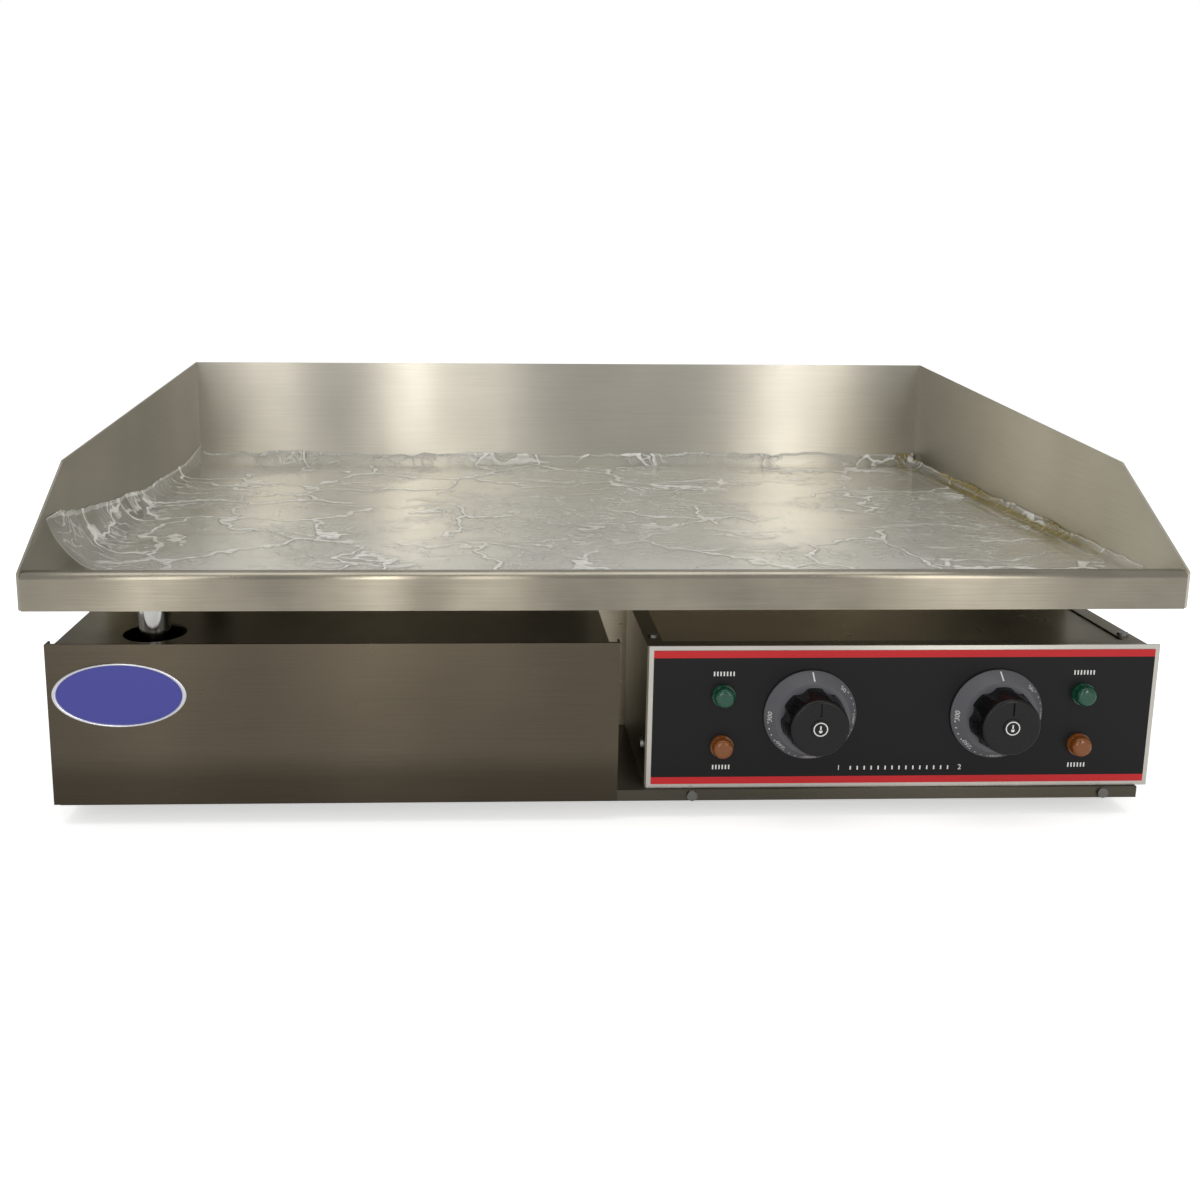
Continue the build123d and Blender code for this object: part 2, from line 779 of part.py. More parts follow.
# ---- Thermostats, spindles and knobs ------------------------------------------------------------
thermostat_back = panel_back + thermostat_depth
skirt_back = overlay_y - knob_gap
skirt_front = skirt_back - skirt_depth
for side_name, knob_x in knob_xs.items():
    thermostat_outline = (thermostat_width, thermostat_height, thermostat_corner)
    with BuildPart() as thermostat:
        with BuildSketch(Plane.XZ.offset(-panel_back)):
            with Locations((knob_x, knob_z)):
                RectangleRounded(*thermostat_outline)
                Circle(spindle_r + running_clearance, mode=Mode.SUBTRACT)
            with Locations(*[(knob_x + side * thermostat_screw_r, knob_z) for side in (-1, 1)]):
                Circle(screw_r + running_clearance, mode=Mode.SUBTRACT)
        extrude(amount=-(spindle_in_body + spindle_end_gap))
        with BuildSketch(Plane.XZ.offset(-panel_back - spindle_in_body - spindle_end_gap)):
            with Locations((knob_x, knob_z)):
                RectangleRounded(*thermostat_outline)
        extrude(amount=-(thermostat_depth - spindle_in_body - spindle_end_gap))
    thermostat.part.label = f"{side_name}_thermostat"
    export_step(thermostat.part, f"parts/{side_name}_thermostat.step")

    with BuildPart() as spindle:
        with BuildSketch(Plane.XZ.offset(-panel_back - spindle_in_body)):
            with Locations((knob_x, knob_z)):
                Circle(spindle_r)
        extrude(amount=panel_back + spindle_in_body - skirt_front + spindle_in_grip)
        block(
            (knob_x - spindle_r, knob_x + spindle_r),
            (skirt_front - spindle_in_grip, overlay_y),
            (knob_z + spindle_r - spindle_flat, knob_z + spindle_r),
            mode=Mode.SUBTRACT,
        )
    spindle.part.label = f"{side_name}_spindle"
    export_step(spindle.part, f"parts/{side_name}_spindle.step")

    knob_back = Plane((knob_x, skirt_back, knob_z), x_dir=(1, 0, 0), z_dir=(0, -1, 0))
    knob_seat = knob_back.offset(skirt_depth)
    knob_front = knob_seat.offset(grip_depth)
    with BuildPart() as skirt:
        with BuildSketch(knob_back):
            Circle(skirt_r)
        extrude(amount=skirt_rim)
        with BuildSketch(knob_back.offset(skirt_rim)):
            Circle(skirt_r)
        with BuildSketch(knob_seat):
            Circle(skirt_front_r)
        loft()
        with BuildSketch(Plane.XZ.offset(-skirt_back)):
            with Locations((knob_x, knob_z)):
                Circle(skirt_front_r - skirt_wall)
        extrude(amount=skirt_depth - skirt_wall, mode=Mode.SUBTRACT)
        with BuildSketch(Plane.XZ.offset(-skirt_back)):
            with Locations((knob_x, knob_z)):
                Circle(boss_r + running_clearance)
        extrude(amount=skirt_depth, mode=Mode.SUBTRACT)
    skirt.part.label = f"{side_name}_dial_skirt"
    export_step(skirt.part, f"parts/{side_name}_dial_skirt.step")

    with BuildPart() as grip:
        with BuildSketch(knob_seat):
            Circle(grip_r)
        with BuildSketch(knob_front):
            Circle(grip_front_r)
        loft()
        with BuildSketch(knob_seat):
            with PolarLocations(grip_r + flute_r - flute_bite, grip_lobes, start_angle=-90):
                Circle(flute_r)
        extrude(amount=grip_depth, mode=Mode.SUBTRACT)
        fillet(grip.faces().sort_by(Axis.Y)[0].edges(), grip_edge)
        with BuildSketch(knob_front):
            Circle(cap_r + running_clearance)
            with Locations((0, (grip_front_r + cap_r) / 2)):
                Rectangle(pointer_width, grip_front_r - cap_r - 2 * grip_edge)
        extrude(amount=-cap_seat, mode=Mode.SUBTRACT)
        with BuildSketch(knob_seat):
            Circle(boss_r)
        extrude(amount=-boss_length)
        with BuildSketch(knob_seat.offset(-boss_length)):
            Circle(spindle_r + running_clearance)
            with Locations((0, spindle_r)):
                Rectangle(
                    3 * spindle_r, 2 * (spindle_flat - running_clearance), mode=Mode.SUBTRACT
                )
        extrude(amount=boss_length + spindle_in_grip + spindle_end_gap, mode=Mode.SUBTRACT)
    grip.part.label = f"{side_name}_knob_grip"
    export_step(grip.part, f"parts/{side_name}_knob_grip.step")

    with BuildPart() as knob_cap:
        with BuildSketch(knob_front.offset(-cap_seat)):
            Circle(cap_r)
        extrude(amount=cap_seat + cap_proud)
        fillet(knob_cap.faces().sort_by(Axis.Y)[0].edges(), cap_proud / 2)
    knob_cap.part.label = f"{side_name}_knob_cap"
    export_step(knob_cap.part, f"parts/{side_name}_knob_cap.step")

with BuildPart() as thermostat_screws:
    for x, z in thermostat_screw_points:
        pan_head((x, panel_y, z), (0, 1, 0), guard_sheet + thermostat_screw_grip)
thermostat_screws.part.label = "thermostat_screws"
export_step(thermostat_screws.part, "parts/thermostat_screws.step")

# ---- Heating elements, clamps and sensors -------------------------------------------------------
zone_x = body_x / 2
element_z = plate_z - contact_gap - element_r
front_bend_y = wall_y + run_front
rear_bend_y = back_y - run_back
bar_z = element_z - element_r - contact_gap
tail_y = wall_y + element_tail
tail_end_z = element_z - element_drop
run_xs = [(i - (run_count - 1) / 2) * run_pitch for i in range(run_count)]
bar_ys = [front_bend_y + bar_inset, (front_bend_y + rear_bend_y) / 2, rear_bend_y - bar_inset]
stud_offset = 2 * run_pitch
stud_points = [
    (side * zone_x + offset_x, y)
    for side in (-1, 1) for offset_x in (-stud_offset, stud_offset) for y in bar_ys
]
for side_name, side in side_names.items():
    middle_x = side * zone_x
    route = [(middle_x + run_xs[0], tail_y, tail_end_z), (middle_x + run_xs[0], tail_y, element_z)]
    for i in range(run_count - 1):
        turn_y = rear_bend_y if i % 2 == 0 else front_bend_y
        route += [(middle_x + run_xs[i], turn_y, element_z), (middle_x + run_xs[i + 1], turn_y, element_z)]
    route += [(middle_x + run_xs[-1], tail_y, element_z), (middle_x + run_xs[-1], tail_y, tail_end_z)]
    bends = [tail_bend] + [bend_r] * (2 * (run_count - 1)) + [tail_bend]
    with BuildPart() as element:
        with BuildLine() as element_line:
            FilletPolyline(*route, radius=bends)
        with BuildSketch(Plane(origin=route[0], z_dir=(0, 0, 1))):
            Circle(element_r)
        sweep()
        with BuildSketch(Plane.XY.offset(tail_end_z)):
            with Locations((route[0][0], tail_y), (route[-1][0], tail_y)):
                Circle(pin_r)
        extrude(amount=-pin_length)
    element.part.label = f"{side_name}_element"
    export_step(element.part, f"parts/{side_name}_element.step")

with BuildPart() as clamp_bars:
    for side in (-1, 1):
        for y in bar_ys:
            with BuildSketch(Plane.XY.offset(bar_z)):
                with Locations((side * zone_x, y)):
                    Rectangle(run_xs[-1] - run_xs[0] + 2 * (element_r + bar_overhang), bar_width)
                    with Locations((-stud_offset, 0), (stud_offset, 0)):
                        Circle(stud_r + screw_clearance, mode=Mode.SUBTRACT)
            extrude(amount=-bar_thickness)
clamp_bars.part.label = "clamp_bars"
export_step(clamp_bars.part, "parts/clamp_bars.step")

with BuildPart() as plate_studs:
    with BuildSketch(Plane.XY.offset(plate_z)):
        with Locations(*stud_points):
            Circle(stud_r)
    extrude(amount=-stud_length)
plate_studs.part.label = "plate_studs"
export_step(plate_studs.part, "parts/plate_studs.step")

with BuildPart() as clamp_nuts:
    with BuildSketch(Plane.XY.offset(bar_z - bar_thickness)):
        with Locations(*stud_points):
            RegularPolygon(nut_flats / 2, 6, major_radius=False)
            Circle(stud_r + running_clearance, mode=Mode.SUBTRACT)
    extrude(amount=-nut_height)
clamp_nuts.part.label = "clamp_nuts"
export_step(clamp_nuts.part, "parts/clamp_nuts.step")

blanket_z = plate_z - stud_length - blanket_gap
shield_z = blanket_z - blanket_thickness
shield_y = (wall_y + shield_front, back_y - 2 * sheet - shield_back)
shield_x = body_x - sheet
with BuildPart() as insulation_blanket:
    block(
        (-shield_x + sheet + blanket_inset, shield_x - sheet - blanket_inset),
        (shield_y[0] + sheet + blanket_inset, shield_y[1] - sheet - blanket_inset),
        (shield_z, blanket_z),
    )
insulation_blanket.part.label = "insulation_blanket"
export_step(insulation_blanket.part, "parts/insulation_blanket.step")

with BuildPart() as heat_shield:
    block((-shield_x, shield_x), shield_y, (shield_z - sheet, shield_z + shield_side))
    block(
        (-shield_x + sheet, shield_x - sheet),
        (shield_y[0] + sheet, shield_y[1] - sheet),
        (shield_z, shield_z + shield_side),
        mode=Mode.SUBTRACT,
    )
heat_shield.part.label = "heat_shield"
export_step(heat_shield.part, "parts/heat_shield.step")

# Each sensor is a bulb between the middle runs, with its capillary led to the thermostat's back.
bulb_z = plate_z - contact_gap - bulb_r
bulb_y = bar_ys[0] - bar_width
capillary_y = tail_y + capillary_gap
capillary_z = knob_z - capillary_drop
for side_name, side in side_names.items():
    middle_x = side * zone_x
    knob_x = knob_xs[side_name]
    route = [
        (middle_x, bulb_y, bulb_z),
        (middle_x, capillary_y, bulb_z),
        (middle_x, capillary_y, capillary_z),
        (knob_x, capillary_y, capillary_z),
        (knob_x, thermostat_back, capillary_z),
    ]
    with BuildPart() as sensor:
        with BuildLine() as sensor_line:
            FilletPolyline(*route, radius=capillary_bend)
        with BuildSketch(Plane(origin=route[0], z_dir=(0, -1, 0))):
            Circle(capillary_r)
        sweep()
        with BuildSketch(Plane(origin=route[0], z_dir=(0, 1, 0))):
            Circle(bulb_r)
        extrude(amount=bulb_length)
    sensor.part.label = f"{side_name}_sensor"
    export_step(sensor.part, f"parts/{side_name}_sensor.step")

# Over-temperature cut-outs sit flat against the plate, between two runs of each element.
cutout_points = [(side * zone_x + run_pitch, (bar_ys[1] + bar_ys[2]) / 2) for side in (-1, 1)]
with BuildPart() as plate_cutouts:
    with BuildSketch(Plane.XY.offset(plate_z)):
        with Locations(*cutout_points):
            Circle(cutout_flange_r)
    extrude(amount=-cutout_flange)
    with BuildSketch(Plane.XY.offset(plate_z)):
        with Locations(*cutout_points):
            Circle(cutout_r)
    extrude(amount=-cutout_height)
plate_cutouts.part.label = "plate_cutouts"
export_step(plate_cutouts.part, "parts/plate_cutouts.step")

# ---- Supply entry and wiring --------------------------------------------------------------------
with BuildPart() as cable_gland:
    with BuildSketch(Plane.XZ.offset(-back_y)):
        with Locations((gland_x, gland_z)):
            RegularPolygon(gland_hex_flats / 2, 6, major_radius=False)
    extrude(amount=-gland_hex)
    with BuildSketch(Plane.XZ.offset(-back_y - gland_hex)):
        with Locations((gland_x, gland_z)):
            Circle(gland_dome_r)
    extrude(amount=-gland_dome)
    fillet(cable_gland.faces().sort_by(Axis.Y)[-1].edges(), gland_round)
    with BuildSketch(Plane.XZ.offset(-back_y)):
        with Locations((gland_x, gland_z)):
            Circle(gland_r)
    extrude(amount=gland_thread)
    with BuildSketch(Plane.XZ.offset(-back_y + gland_thread)):
        with Locations((gland_x, gland_z)):
            Circle(gland_bore_r)
    extrude(amount=-(gland_thread + gland_hex + gland_dome), mode=Mode.SUBTRACT)
cable_gland.part.label = "cable_gland"
export_step(cable_gland.part, "parts/cable_gland.step")

with BuildPart() as gland_nut:
    with BuildSketch(Plane.XZ.offset(-back_y + sheet)):
        with Locations((gland_x, gland_z)):
            RegularPolygon(gland_hex_flats / 2, 6, major_radius=False)
            Circle(gland_r + running_clearance, mode=Mode.SUBTRACT)
    extrude(amount=lock_nut)
gland_nut.part.label = "gland_nut"
export_step(gland_nut.part, "parts/gland_nut.step")

with BuildPart() as earth_stud:
    with BuildSketch(Plane.XZ.offset(-back_y + earth_grip)):
        with Locations((earth_x, gland_z)):
            Circle(screw_r)
    extrude(amount=-(earth_grip + earth_length))
    with BuildSketch(Plane.XZ.offset(-back_y)):
        with Locations((earth_x, gland_z)):
            RegularPolygon(earth_nut_flats / 2, 6, major_radius=False)
    extrude(amount=-earth_nut)
earth_stud.part.label = "earth_stud"
export_step(earth_stud.part, "parts/earth_stud.step")

block_y = back_y - block_gap
block_pitch = block_width / block_ways
block_xs = [gland_x - block_width + (i + 0.5) * block_pitch for i in range(block_ways)]
with BuildPart() as terminal_block:
    block((gland_x - block_width, gland_x), (block_y - block_depth, block_y), (pan_z, pan_z + block_height))
    with BuildSketch(Plane.XY.offset(pan_z + block_height)):
        with Locations(*[(x, block_y - block_depth / 2) for x in block_xs]):
            Circle(well_r)
    extrude(amount=-well_depth, mode=Mode.SUBTRACT)
terminal_block.part.label = "terminal_block"
export_step(terminal_block.part, "parts/terminal_block.step")

with BuildPart() as terminal_screws:
    for x in block_xs:
        with BuildSketch(Plane((x, block_y - block_depth / 2, pan_z + block_height - well_depth))):
            Circle(well_screw_r)
        extrude(amount=well_screw)
terminal_screws.part.label = "terminal_screws"
export_step(terminal_screws.part, "parts/terminal_screws.step")


def wire_run(route):
    """One insulated wire in the part being built, along straight runs with rounded corners."""
    with BuildLine() as wire_line:
        FilletPolyline(*route, radius=wire_bend)
    with BuildSketch(Plane(origin=wire_line.wire() @ 0, z_dir=wire_line.wire() % 0)) as section:
        Circle(wire_r)
    sweep(section.sketch, path=wire_line.wire())


# Supply wires run along the pan from the terminal block to each thermostat.
block_front = block_y - block_depth
supply_z = pan_z + supply_lift
terminal_z = knob_z + terminal_lift
with BuildPart() as supply_wires:
    for i, knob_x in enumerate(knob_xs.values()):
        turn_y = block_front - (2 - i) * supply_turn_gap
        end_x = knob_x + terminal_offset
        wire_run([
            (block_xs[i], block_front, supply_z),
            (block_xs[i], turn_y, supply_z),
            (end_x, turn_y, supply_z),
            (end_x, thermostat_back + terminal_turn, supply_z),
            (end_x, thermostat_back + terminal_turn, terminal_z),
            (end_x, thermostat_back, terminal_z),
        ])
supply_wires.part.label = "supply_wires"
export_step(supply_wires.part, "parts/supply_wires.step")

# Heater wires run from each thermostat up to the near end of its element.
with BuildPart() as heater_wires:
    for side_name, side in side_names.items():
        knob_x = knob_xs[side_name]
        end_x = side * zone_x + run_xs[-1]
        wire_run([
            (knob_x - terminal_offset, thermostat_back, terminal_z),
            (knob_x - terminal_offset, tail_y, terminal_z),
            (end_x, tail_y, terminal_z),
            (end_x, tail_y, tail_end_z - pin_length),
        ])
heater_wires.part.label = "heater_wires"
export_step(heater_wires.part, "parts/heater_wires.step")
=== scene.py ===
# %% [markdown]
# # A countertop electric griddle, dressed for its picture
# The griddle arrives as a finished engineering model: sixty named parts, each at its real
# size and place. This lesson gives every part its real finish, adds the printed marks, and
# lays a crumpled protective film over the cooking plate. Nothing engineered is moved.

# %% Load the engineering model
import math

import bpy
from mathutils import Matrix, Vector, noise


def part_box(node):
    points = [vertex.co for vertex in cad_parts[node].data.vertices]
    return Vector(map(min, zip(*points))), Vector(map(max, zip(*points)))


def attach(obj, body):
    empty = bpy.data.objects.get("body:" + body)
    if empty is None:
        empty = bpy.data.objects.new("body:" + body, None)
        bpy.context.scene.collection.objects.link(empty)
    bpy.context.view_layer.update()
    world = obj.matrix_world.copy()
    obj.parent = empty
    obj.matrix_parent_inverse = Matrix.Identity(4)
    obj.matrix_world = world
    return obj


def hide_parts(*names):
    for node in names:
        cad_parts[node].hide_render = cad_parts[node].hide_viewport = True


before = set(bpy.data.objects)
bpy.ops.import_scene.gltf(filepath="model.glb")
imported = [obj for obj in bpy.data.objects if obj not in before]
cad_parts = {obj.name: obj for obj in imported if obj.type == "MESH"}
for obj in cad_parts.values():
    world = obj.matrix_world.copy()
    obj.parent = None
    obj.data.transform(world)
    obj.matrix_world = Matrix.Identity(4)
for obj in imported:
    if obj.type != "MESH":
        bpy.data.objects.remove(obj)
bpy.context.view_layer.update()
MM = 0.001
# The noise module otherwise picks its vector offsets by the clock.
noise.seed_set(7)

# %% [markdown]
# ## The camera
# A camera is placed from the part itself: so far in front of the lip, so far above it.
# A small shift of the film back frames the object without tilting the upright lines.

# %% Place the camera
lip_low, lip_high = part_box("front_lip")
aside_mm, in_front_mm, above_mm = -82.9, 706.6, 190.3
yaw, pitch, roll = 0.03374, 0.17823, 0.00748  # radians
camera_data = bpy.data.cameras.new("camera")
camera = bpy.data.objects.new("camera", camera_data)
bpy.context.scene.collection.objects.link(camera)
bpy.context.scene.camera = camera
camera_data.lens = 35.43
camera_data.shift_x = 0.068
camera_data.shift_y = -0.106
camera_data.clip_end = 50
stand = Vector((aside_mm * MM, lip_low.y - in_front_mm * MM, lip_high.z + above_mm * MM))
forward = Vector((math.sin(yaw) * math.cos(pitch), math.cos(yaw) * math.cos(pitch), -math.sin(pitch)))
level_right = Vector((math.cos(yaw), -math.sin(yaw), 0))
level_up = level_right.cross(forward)
right = math.cos(roll) * level_right + math.sin(roll) * level_up
up = right.cross(forward)
aim = Matrix((right, up, -forward)).transposed()
camera.matrix_world = Matrix.Translation(stand) @ aim.to_4x4()
bpy.context.scene.view_settings.view_transform = "Standard"
print("camera stands", round((lip_low.y - stand.y) / MM), "mm in front of the lip")

# %% [markdown]
# ## The studio
# A pale floor and an even white surround make colours render as they are written. Four tall
# strip lamps stand in front, because brushed steel is judged by the streaks that such lamps
# draw on it. The camera sees the surround as full white, directly or through a clear piece.
# As a light and in reflections it is half as bright, so that the steel keeps its contrast.

# %% A helper that adds and wires one node
def plug(tree, node, values):
    """Sets a node's inputs: a socket is linked, and so is a node's first output.

    Anything else becomes the input's own value.
    """
    for key, value in values.items():
        if isinstance(value, bpy.types.Node):
            value = value.outputs[0]
        if isinstance(value, bpy.types.NodeSocket):
            tree.links.new(value, node.inputs[key])
        else:
            node.inputs[key].default_value = value
    return node


def add(tree, kind, values=None, **settings):
    """Adds one node of any kind, with its settings and its inputs."""
    node = tree.nodes.new(kind)
    for key, value in settings.items():
        setattr(node, key, value)
    return plug(tree, node, values or {})


def srgb(code, alpha=1.0):
    """A colour picker's hex code as the linear colour that Blender works in."""
    channels = [int(code[i:i + 2], 16) / 255 for i in (1, 3, 5)]
    linear = [c / 12.92 if c <= 0.04045 else ((c + 0.055) / 1.055) ** 2.4 for c in channels]
    return (*linear, alpha)


# %% The surround
surround_glow = 0.5
world = bpy.data.worlds.new("white surround")
bpy.context.scene.world = world
world.use_nodes = True
sky = world.node_tree
path = add(sky, "ShaderNodeLightPath")
seen = add(sky, "ShaderNodeMath",
           {0: path.outputs["Is Camera Ray"], 1: path.outputs["Is Transmission Ray"]},
           operation="MAXIMUM")
level = add(sky, "ShaderNodeMapRange", {"Value": seen, "To Min": surround_glow, "To Max": 1.0})
plug(sky, sky.nodes["Background"], {"Color": (1, 1, 1, 1), "Strength": level})
print("surround:", surround_glow, "as a light, 1.0 to the camera")

# %% The floor
# The floor glows a little for the camera alone, so that it meets the surround without an edge.
floor_reach, floor_drop, floor_glow = 6.0, 0.2 * MM, 0.55
corners = [(x * floor_reach, y * floor_reach, 0) for x, y in ((-1, -1), (1, -1), (1, 1), (-1, 1))]
mesh = bpy.data.meshes.new("floor")
mesh.from_pydata(corners, [], [(0, 1, 2, 3)])
floor = bpy.data.objects.new("floor", mesh)
floor.location.z = -floor_drop
bpy.context.scene.collection.objects.link(floor)
floor_paint = bpy.data.materials.new("white studio floor")
floor_paint.use_nodes = True
tree = floor_paint.node_tree
paint = plug(tree, tree.nodes["Principled BSDF"],
             {"Base Color": srgb("#fafafa"), "Roughness": 0.9, "Specular IOR Level": 0.0})
to_camera = add(tree, "ShaderNodeLightPath").outputs["Is Camera Ray"]
glow = add(tree, "ShaderNodeMath", {0: to_camera, 1: floor_glow}, operation="MULTIPLY")
plug(tree, paint, {"Emission Color": (1, 1, 1, 1), "Emission Strength": glow})
mesh.materials.append(floor_paint)
print("floor:", 2 * floor_reach, "m square")

# %% The lamps
lamp_y, lamp_height = -1.4, 1.1


def strip_lamp(name, x, width, radiance):
    """A tall soft lamp that stands on the floor and faces the griddle from the front."""
    lamp = bpy.data.lights.new(name, "AREA")
    lamp.shape = "RECTANGLE"
    lamp.size = width
    lamp.size_y = lamp_height
    lamp.energy = radiance * math.pi * width * lamp_height
    lamp.color = (1.0, 0.97, 0.91)
    holder = bpy.data.objects.new(name, lamp)
    holder.location = (x, lamp_y, lamp_height / 2)
    holder.rotation_euler = (math.radians(90), 0, 0)
    holder.visible_camera = False
    bpy.context.scene.collection.objects.link(holder)


for name, x, width, radiance in (("far left", -0.61, 0.12, 3.2), ("left", -0.245, 0.08, 4.8),
                                 ("middle", -0.07, 0.12, 1.8), ("right", 0.70, 0.24, 3.0)):
    strip_lamp(f"strip lamp {name}", x, width, radiance)
top_lamp = bpy.data.lights.new("overhead lamp", "AREA")
top_lamp.size = 2.2
top_lamp.energy = 22
overhead = bpy.data.objects.new("overhead lamp", top_lamp)
overhead.location = (0, 0.1, 2.4)
overhead.visible_camera = False
bpy.context.scene.collection.objects.link(overhead)

# %% [markdown]
# ## Stainless steel sheet
# The guards, lip and cases are folded from stainless sheet that the mill brushed with an
# abrasive belt. The belt leaves fine parallel scratches, so the finish is a noise stretched
# along the grain: it roughens the gloss and lifts tiny ridges. Scratches spread a highlight
# across the grain, which is what anisotropy does. Broad soft clouds are the handling marks.

# %% A new finish
def finish(name):
    """A new material, its node tree and its surface shader."""
    material = bpy.data.materials.new(name)
    material.use_nodes = True
    return material, material.node_tree, material.node_tree.nodes["Principled BSDF"]


def dress(material, *names):
    """Gives a finish to CAD nodes, by name."""
    for name in names:
        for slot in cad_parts[name].material_slots:
            slot.material = material
    print(material.name, "on", len(names))


# %% Brushed stainless
streak_mm, smear_mm = 60, 22  # how long a scratch runs, and how far apart the gloss changes
cloud_share = 1.6             # how much more the clouds count than the scratches
darkest, lightest = 0.9, 1.7  # what the two add up to at their least and most


def brushed_steel(name, colour, grain, rough=0.30, aniso=0.9, contrast=0.10, cloud_mm=120,
                  scratch_mm=0.6, relief_mm=0.006, smear_by=0.03, fade=None):
    """Belt-brushed sheet. grain is the direction of the scratches, as an axis letter.

    fade names an axis, two places on it, and how bright the tint is at each of the two: painted light and
    painted shade along that axis.
    """
    material, tree, shader = finish(name)
    place = add(tree, "ShaderNodeTexCoord").outputs["Object"]
    scale = [1 / (streak_mm * MM) if letter == grain else 1 / (scratch_mm * MM) for letter in "XYZ"]
    stretched = add(tree, "ShaderNodeMapping", {"Vector": place, "Scale": scale})
    scratch = add(tree, "ShaderNodeTexNoise",
                  {"Vector": stretched, "Scale": 1.0, "Detail": 3.0, "Roughness": 0.6})
    cloud = add(tree, "ShaderNodeTexNoise",
                {"Vector": place, "Scale": 1 / (cloud_mm * MM), "Detail": 2.0, "Roughness": 0.5})
    smear = add(tree, "ShaderNodeTexNoise",
                {"Vector": place, "Scale": 1 / (smear_mm * MM), "Detail": 5.0, "Roughness": 0.6})
    tone = add(tree, "ShaderNodeMath", {0: cloud, 1: cloud_share, 2: scratch}, operation="MULTIPLY_ADD")
    gain = add(tree, "ShaderNodeMapRange",
               {"Value": tone, "From Min": darkest, "From Max": lightest,
                "To Min": 1 - contrast, "To Max": 1 + contrast})
    # The fade is painted light and painted shade: it brightens or darkens the tint along one axis.
    if fade:
        axis, low, high, first, last = fade
        along = add(tree, "ShaderNodeSeparateXYZ", {0: place}).outputs[axis]
        wear_and_painted_light = add(tree, "ShaderNodeMapRange",
                   {"Value": along, "From Min": low, "From Max": high, "To Min": first, "To Max": last},
                   interpolation_type="SMOOTHSTEP")
        gain = add(tree, "ShaderNodeMath", {0: gain, 1: wear_and_painted_light}, operation="MULTIPLY")
    tint = add(tree, "ShaderNodeVectorMath", {0: srgb(colour)[:3], "Scale": gain}, operation="SCALE")
    gloss = add(tree, "ShaderNodeMapRange",
                {"Value": smear, "From Min": 0.3, "From Max": 0.7,
                 "To Min": rough - smear_by, "To Max": rough + smear_by})
    relief = add(tree, "ShaderNodeBump",
                 {"Height": scratch, "Strength": 0.3, "Distance": relief_mm * MM})
    across = add(tree, "ShaderNodeCombineXYZ", {"X": 0.0, "Y": 0.3, "Z": 1.0})
    plug(tree, shader, {"Base Color": tint, "Metallic": 1.0, "Roughness": gloss,
                        "Anisotropic": aniso, "Tangent": across, "Normal": relief})
    return material


# %% Dress the sheet pieces
# The pieces are one stainless in lighter and darker tints: painted reflection and painted shade of the
# studio around each. Each fade paints the same along one axis.
guard_steel = brushed_steel("brushed stainless guard", "#cbc7bd", "X", rough=0.31, aniso=1.0,
                            smear_by=0.012)
left_steel = brushed_steel("brushed stainless left guard", "#a6a297", "Y", rough=0.34, smear_by=0.015)
right_steel = brushed_steel("brushed stainless right guard", "#c4c0b4", "Y", rough=0.34,
                            smear_by=0.015, fade=("Y", -0.12, 0.24, 1.3, 0.45))
lip_steel = brushed_steel("brushed stainless lip", "#9d9789", "X", rough=0.22, aniso=0.98,
                          contrast=0.18, cloud_mm=50)
drawer_steel = brushed_steel("brushed stainless drawer front", "#625a4d", "X", rough=0.30,
                             contrast=0.12, fade=("Z", 0.028, 0.052, 0.62, 1.0))
case_steel = brushed_steel("brushed stainless case", "#7d7769", "X", rough=0.33, contrast=0.14)
body_steel = brushed_steel("brushed stainless body", "#bdb4a0", "X", rough=0.30, contrast=0.12,
                           fade=("X", 0.10, 0.33, 1.0, 0.35))
pan_steel = brushed_steel("brushed stainless pan", "#5d594f", "X", rough=0.38)
dress(guard_steel, "back_guard")
dress(left_steel, "left_guard")
dress(right_steel, "right_guard")
dress(lip_steel, "front_lip", "grease_gutter")
dress(drawer_steel, "drawer_front")
dress(body_steel, "body_shell", "control_box_cover")
dress(case_steel, "drawer_bay_cover", "control_box_shell", "back_panel", "drawer_tray")
dress(pan_steel, "base_pan")

# %% [markdown]
# ## The cooking plate
# The plate is thick mild steel, ground flat and polished, so it mirrors more than the sheet
# around it does. It is the same brushed finish with a higher gloss and a finer grain.

# %% Ground plate
# The near-white tint is brighter than steel's own: a painted reflection, so the plate shows as bright as
# the studio it mirrors.
plate_steel = brushed_steel("ground steel plate", "#fbf8ef", "X", rough=0.19, aniso=0.8,
                            cloud_mm=160, scratch_mm=0.5)
dress(plate_steel, "griddle_plate")

# %% [markdown]
# ## Chrome, zinc, brass and screws
# The drain tube is chromed, the screws and clamps are zinc plated, and the earth stud is
# turned brass. All are metals at their default index; only tint and gloss tell them apart.

# %% Small metals
def plain_metal(name, colour, rough, grain_mm=3.0, wear=0.08):
    """A plated or turned metal: one tint, with its gloss broken by fine wear."""
    material, tree, shader = finish(name)
    place = add(tree, "ShaderNodeTexCoord").outputs["Object"]
    wear_and_painted_light = add(tree, "ShaderNodeTexNoise",
               {"Vector": place, "Scale": 1 / (grain_mm * MM), "Detail": 5.0})
    gloss = add(tree, "ShaderNodeMapRange",
                {"Value": wear_and_painted_light, "From Min": 0.3, "From Max": 0.7,
                 "To Min": rough, "To Max": rough + wear})
    relief = add(tree, "ShaderNodeBump",
                 {"Height": wear_and_painted_light, "Strength": 0.15, "Distance": 0.02 * MM})
    plug(tree, shader, {"Base Color": srgb(colour), "Metallic": 1.0, "Roughness": gloss,
                        "Normal": relief})
    return material
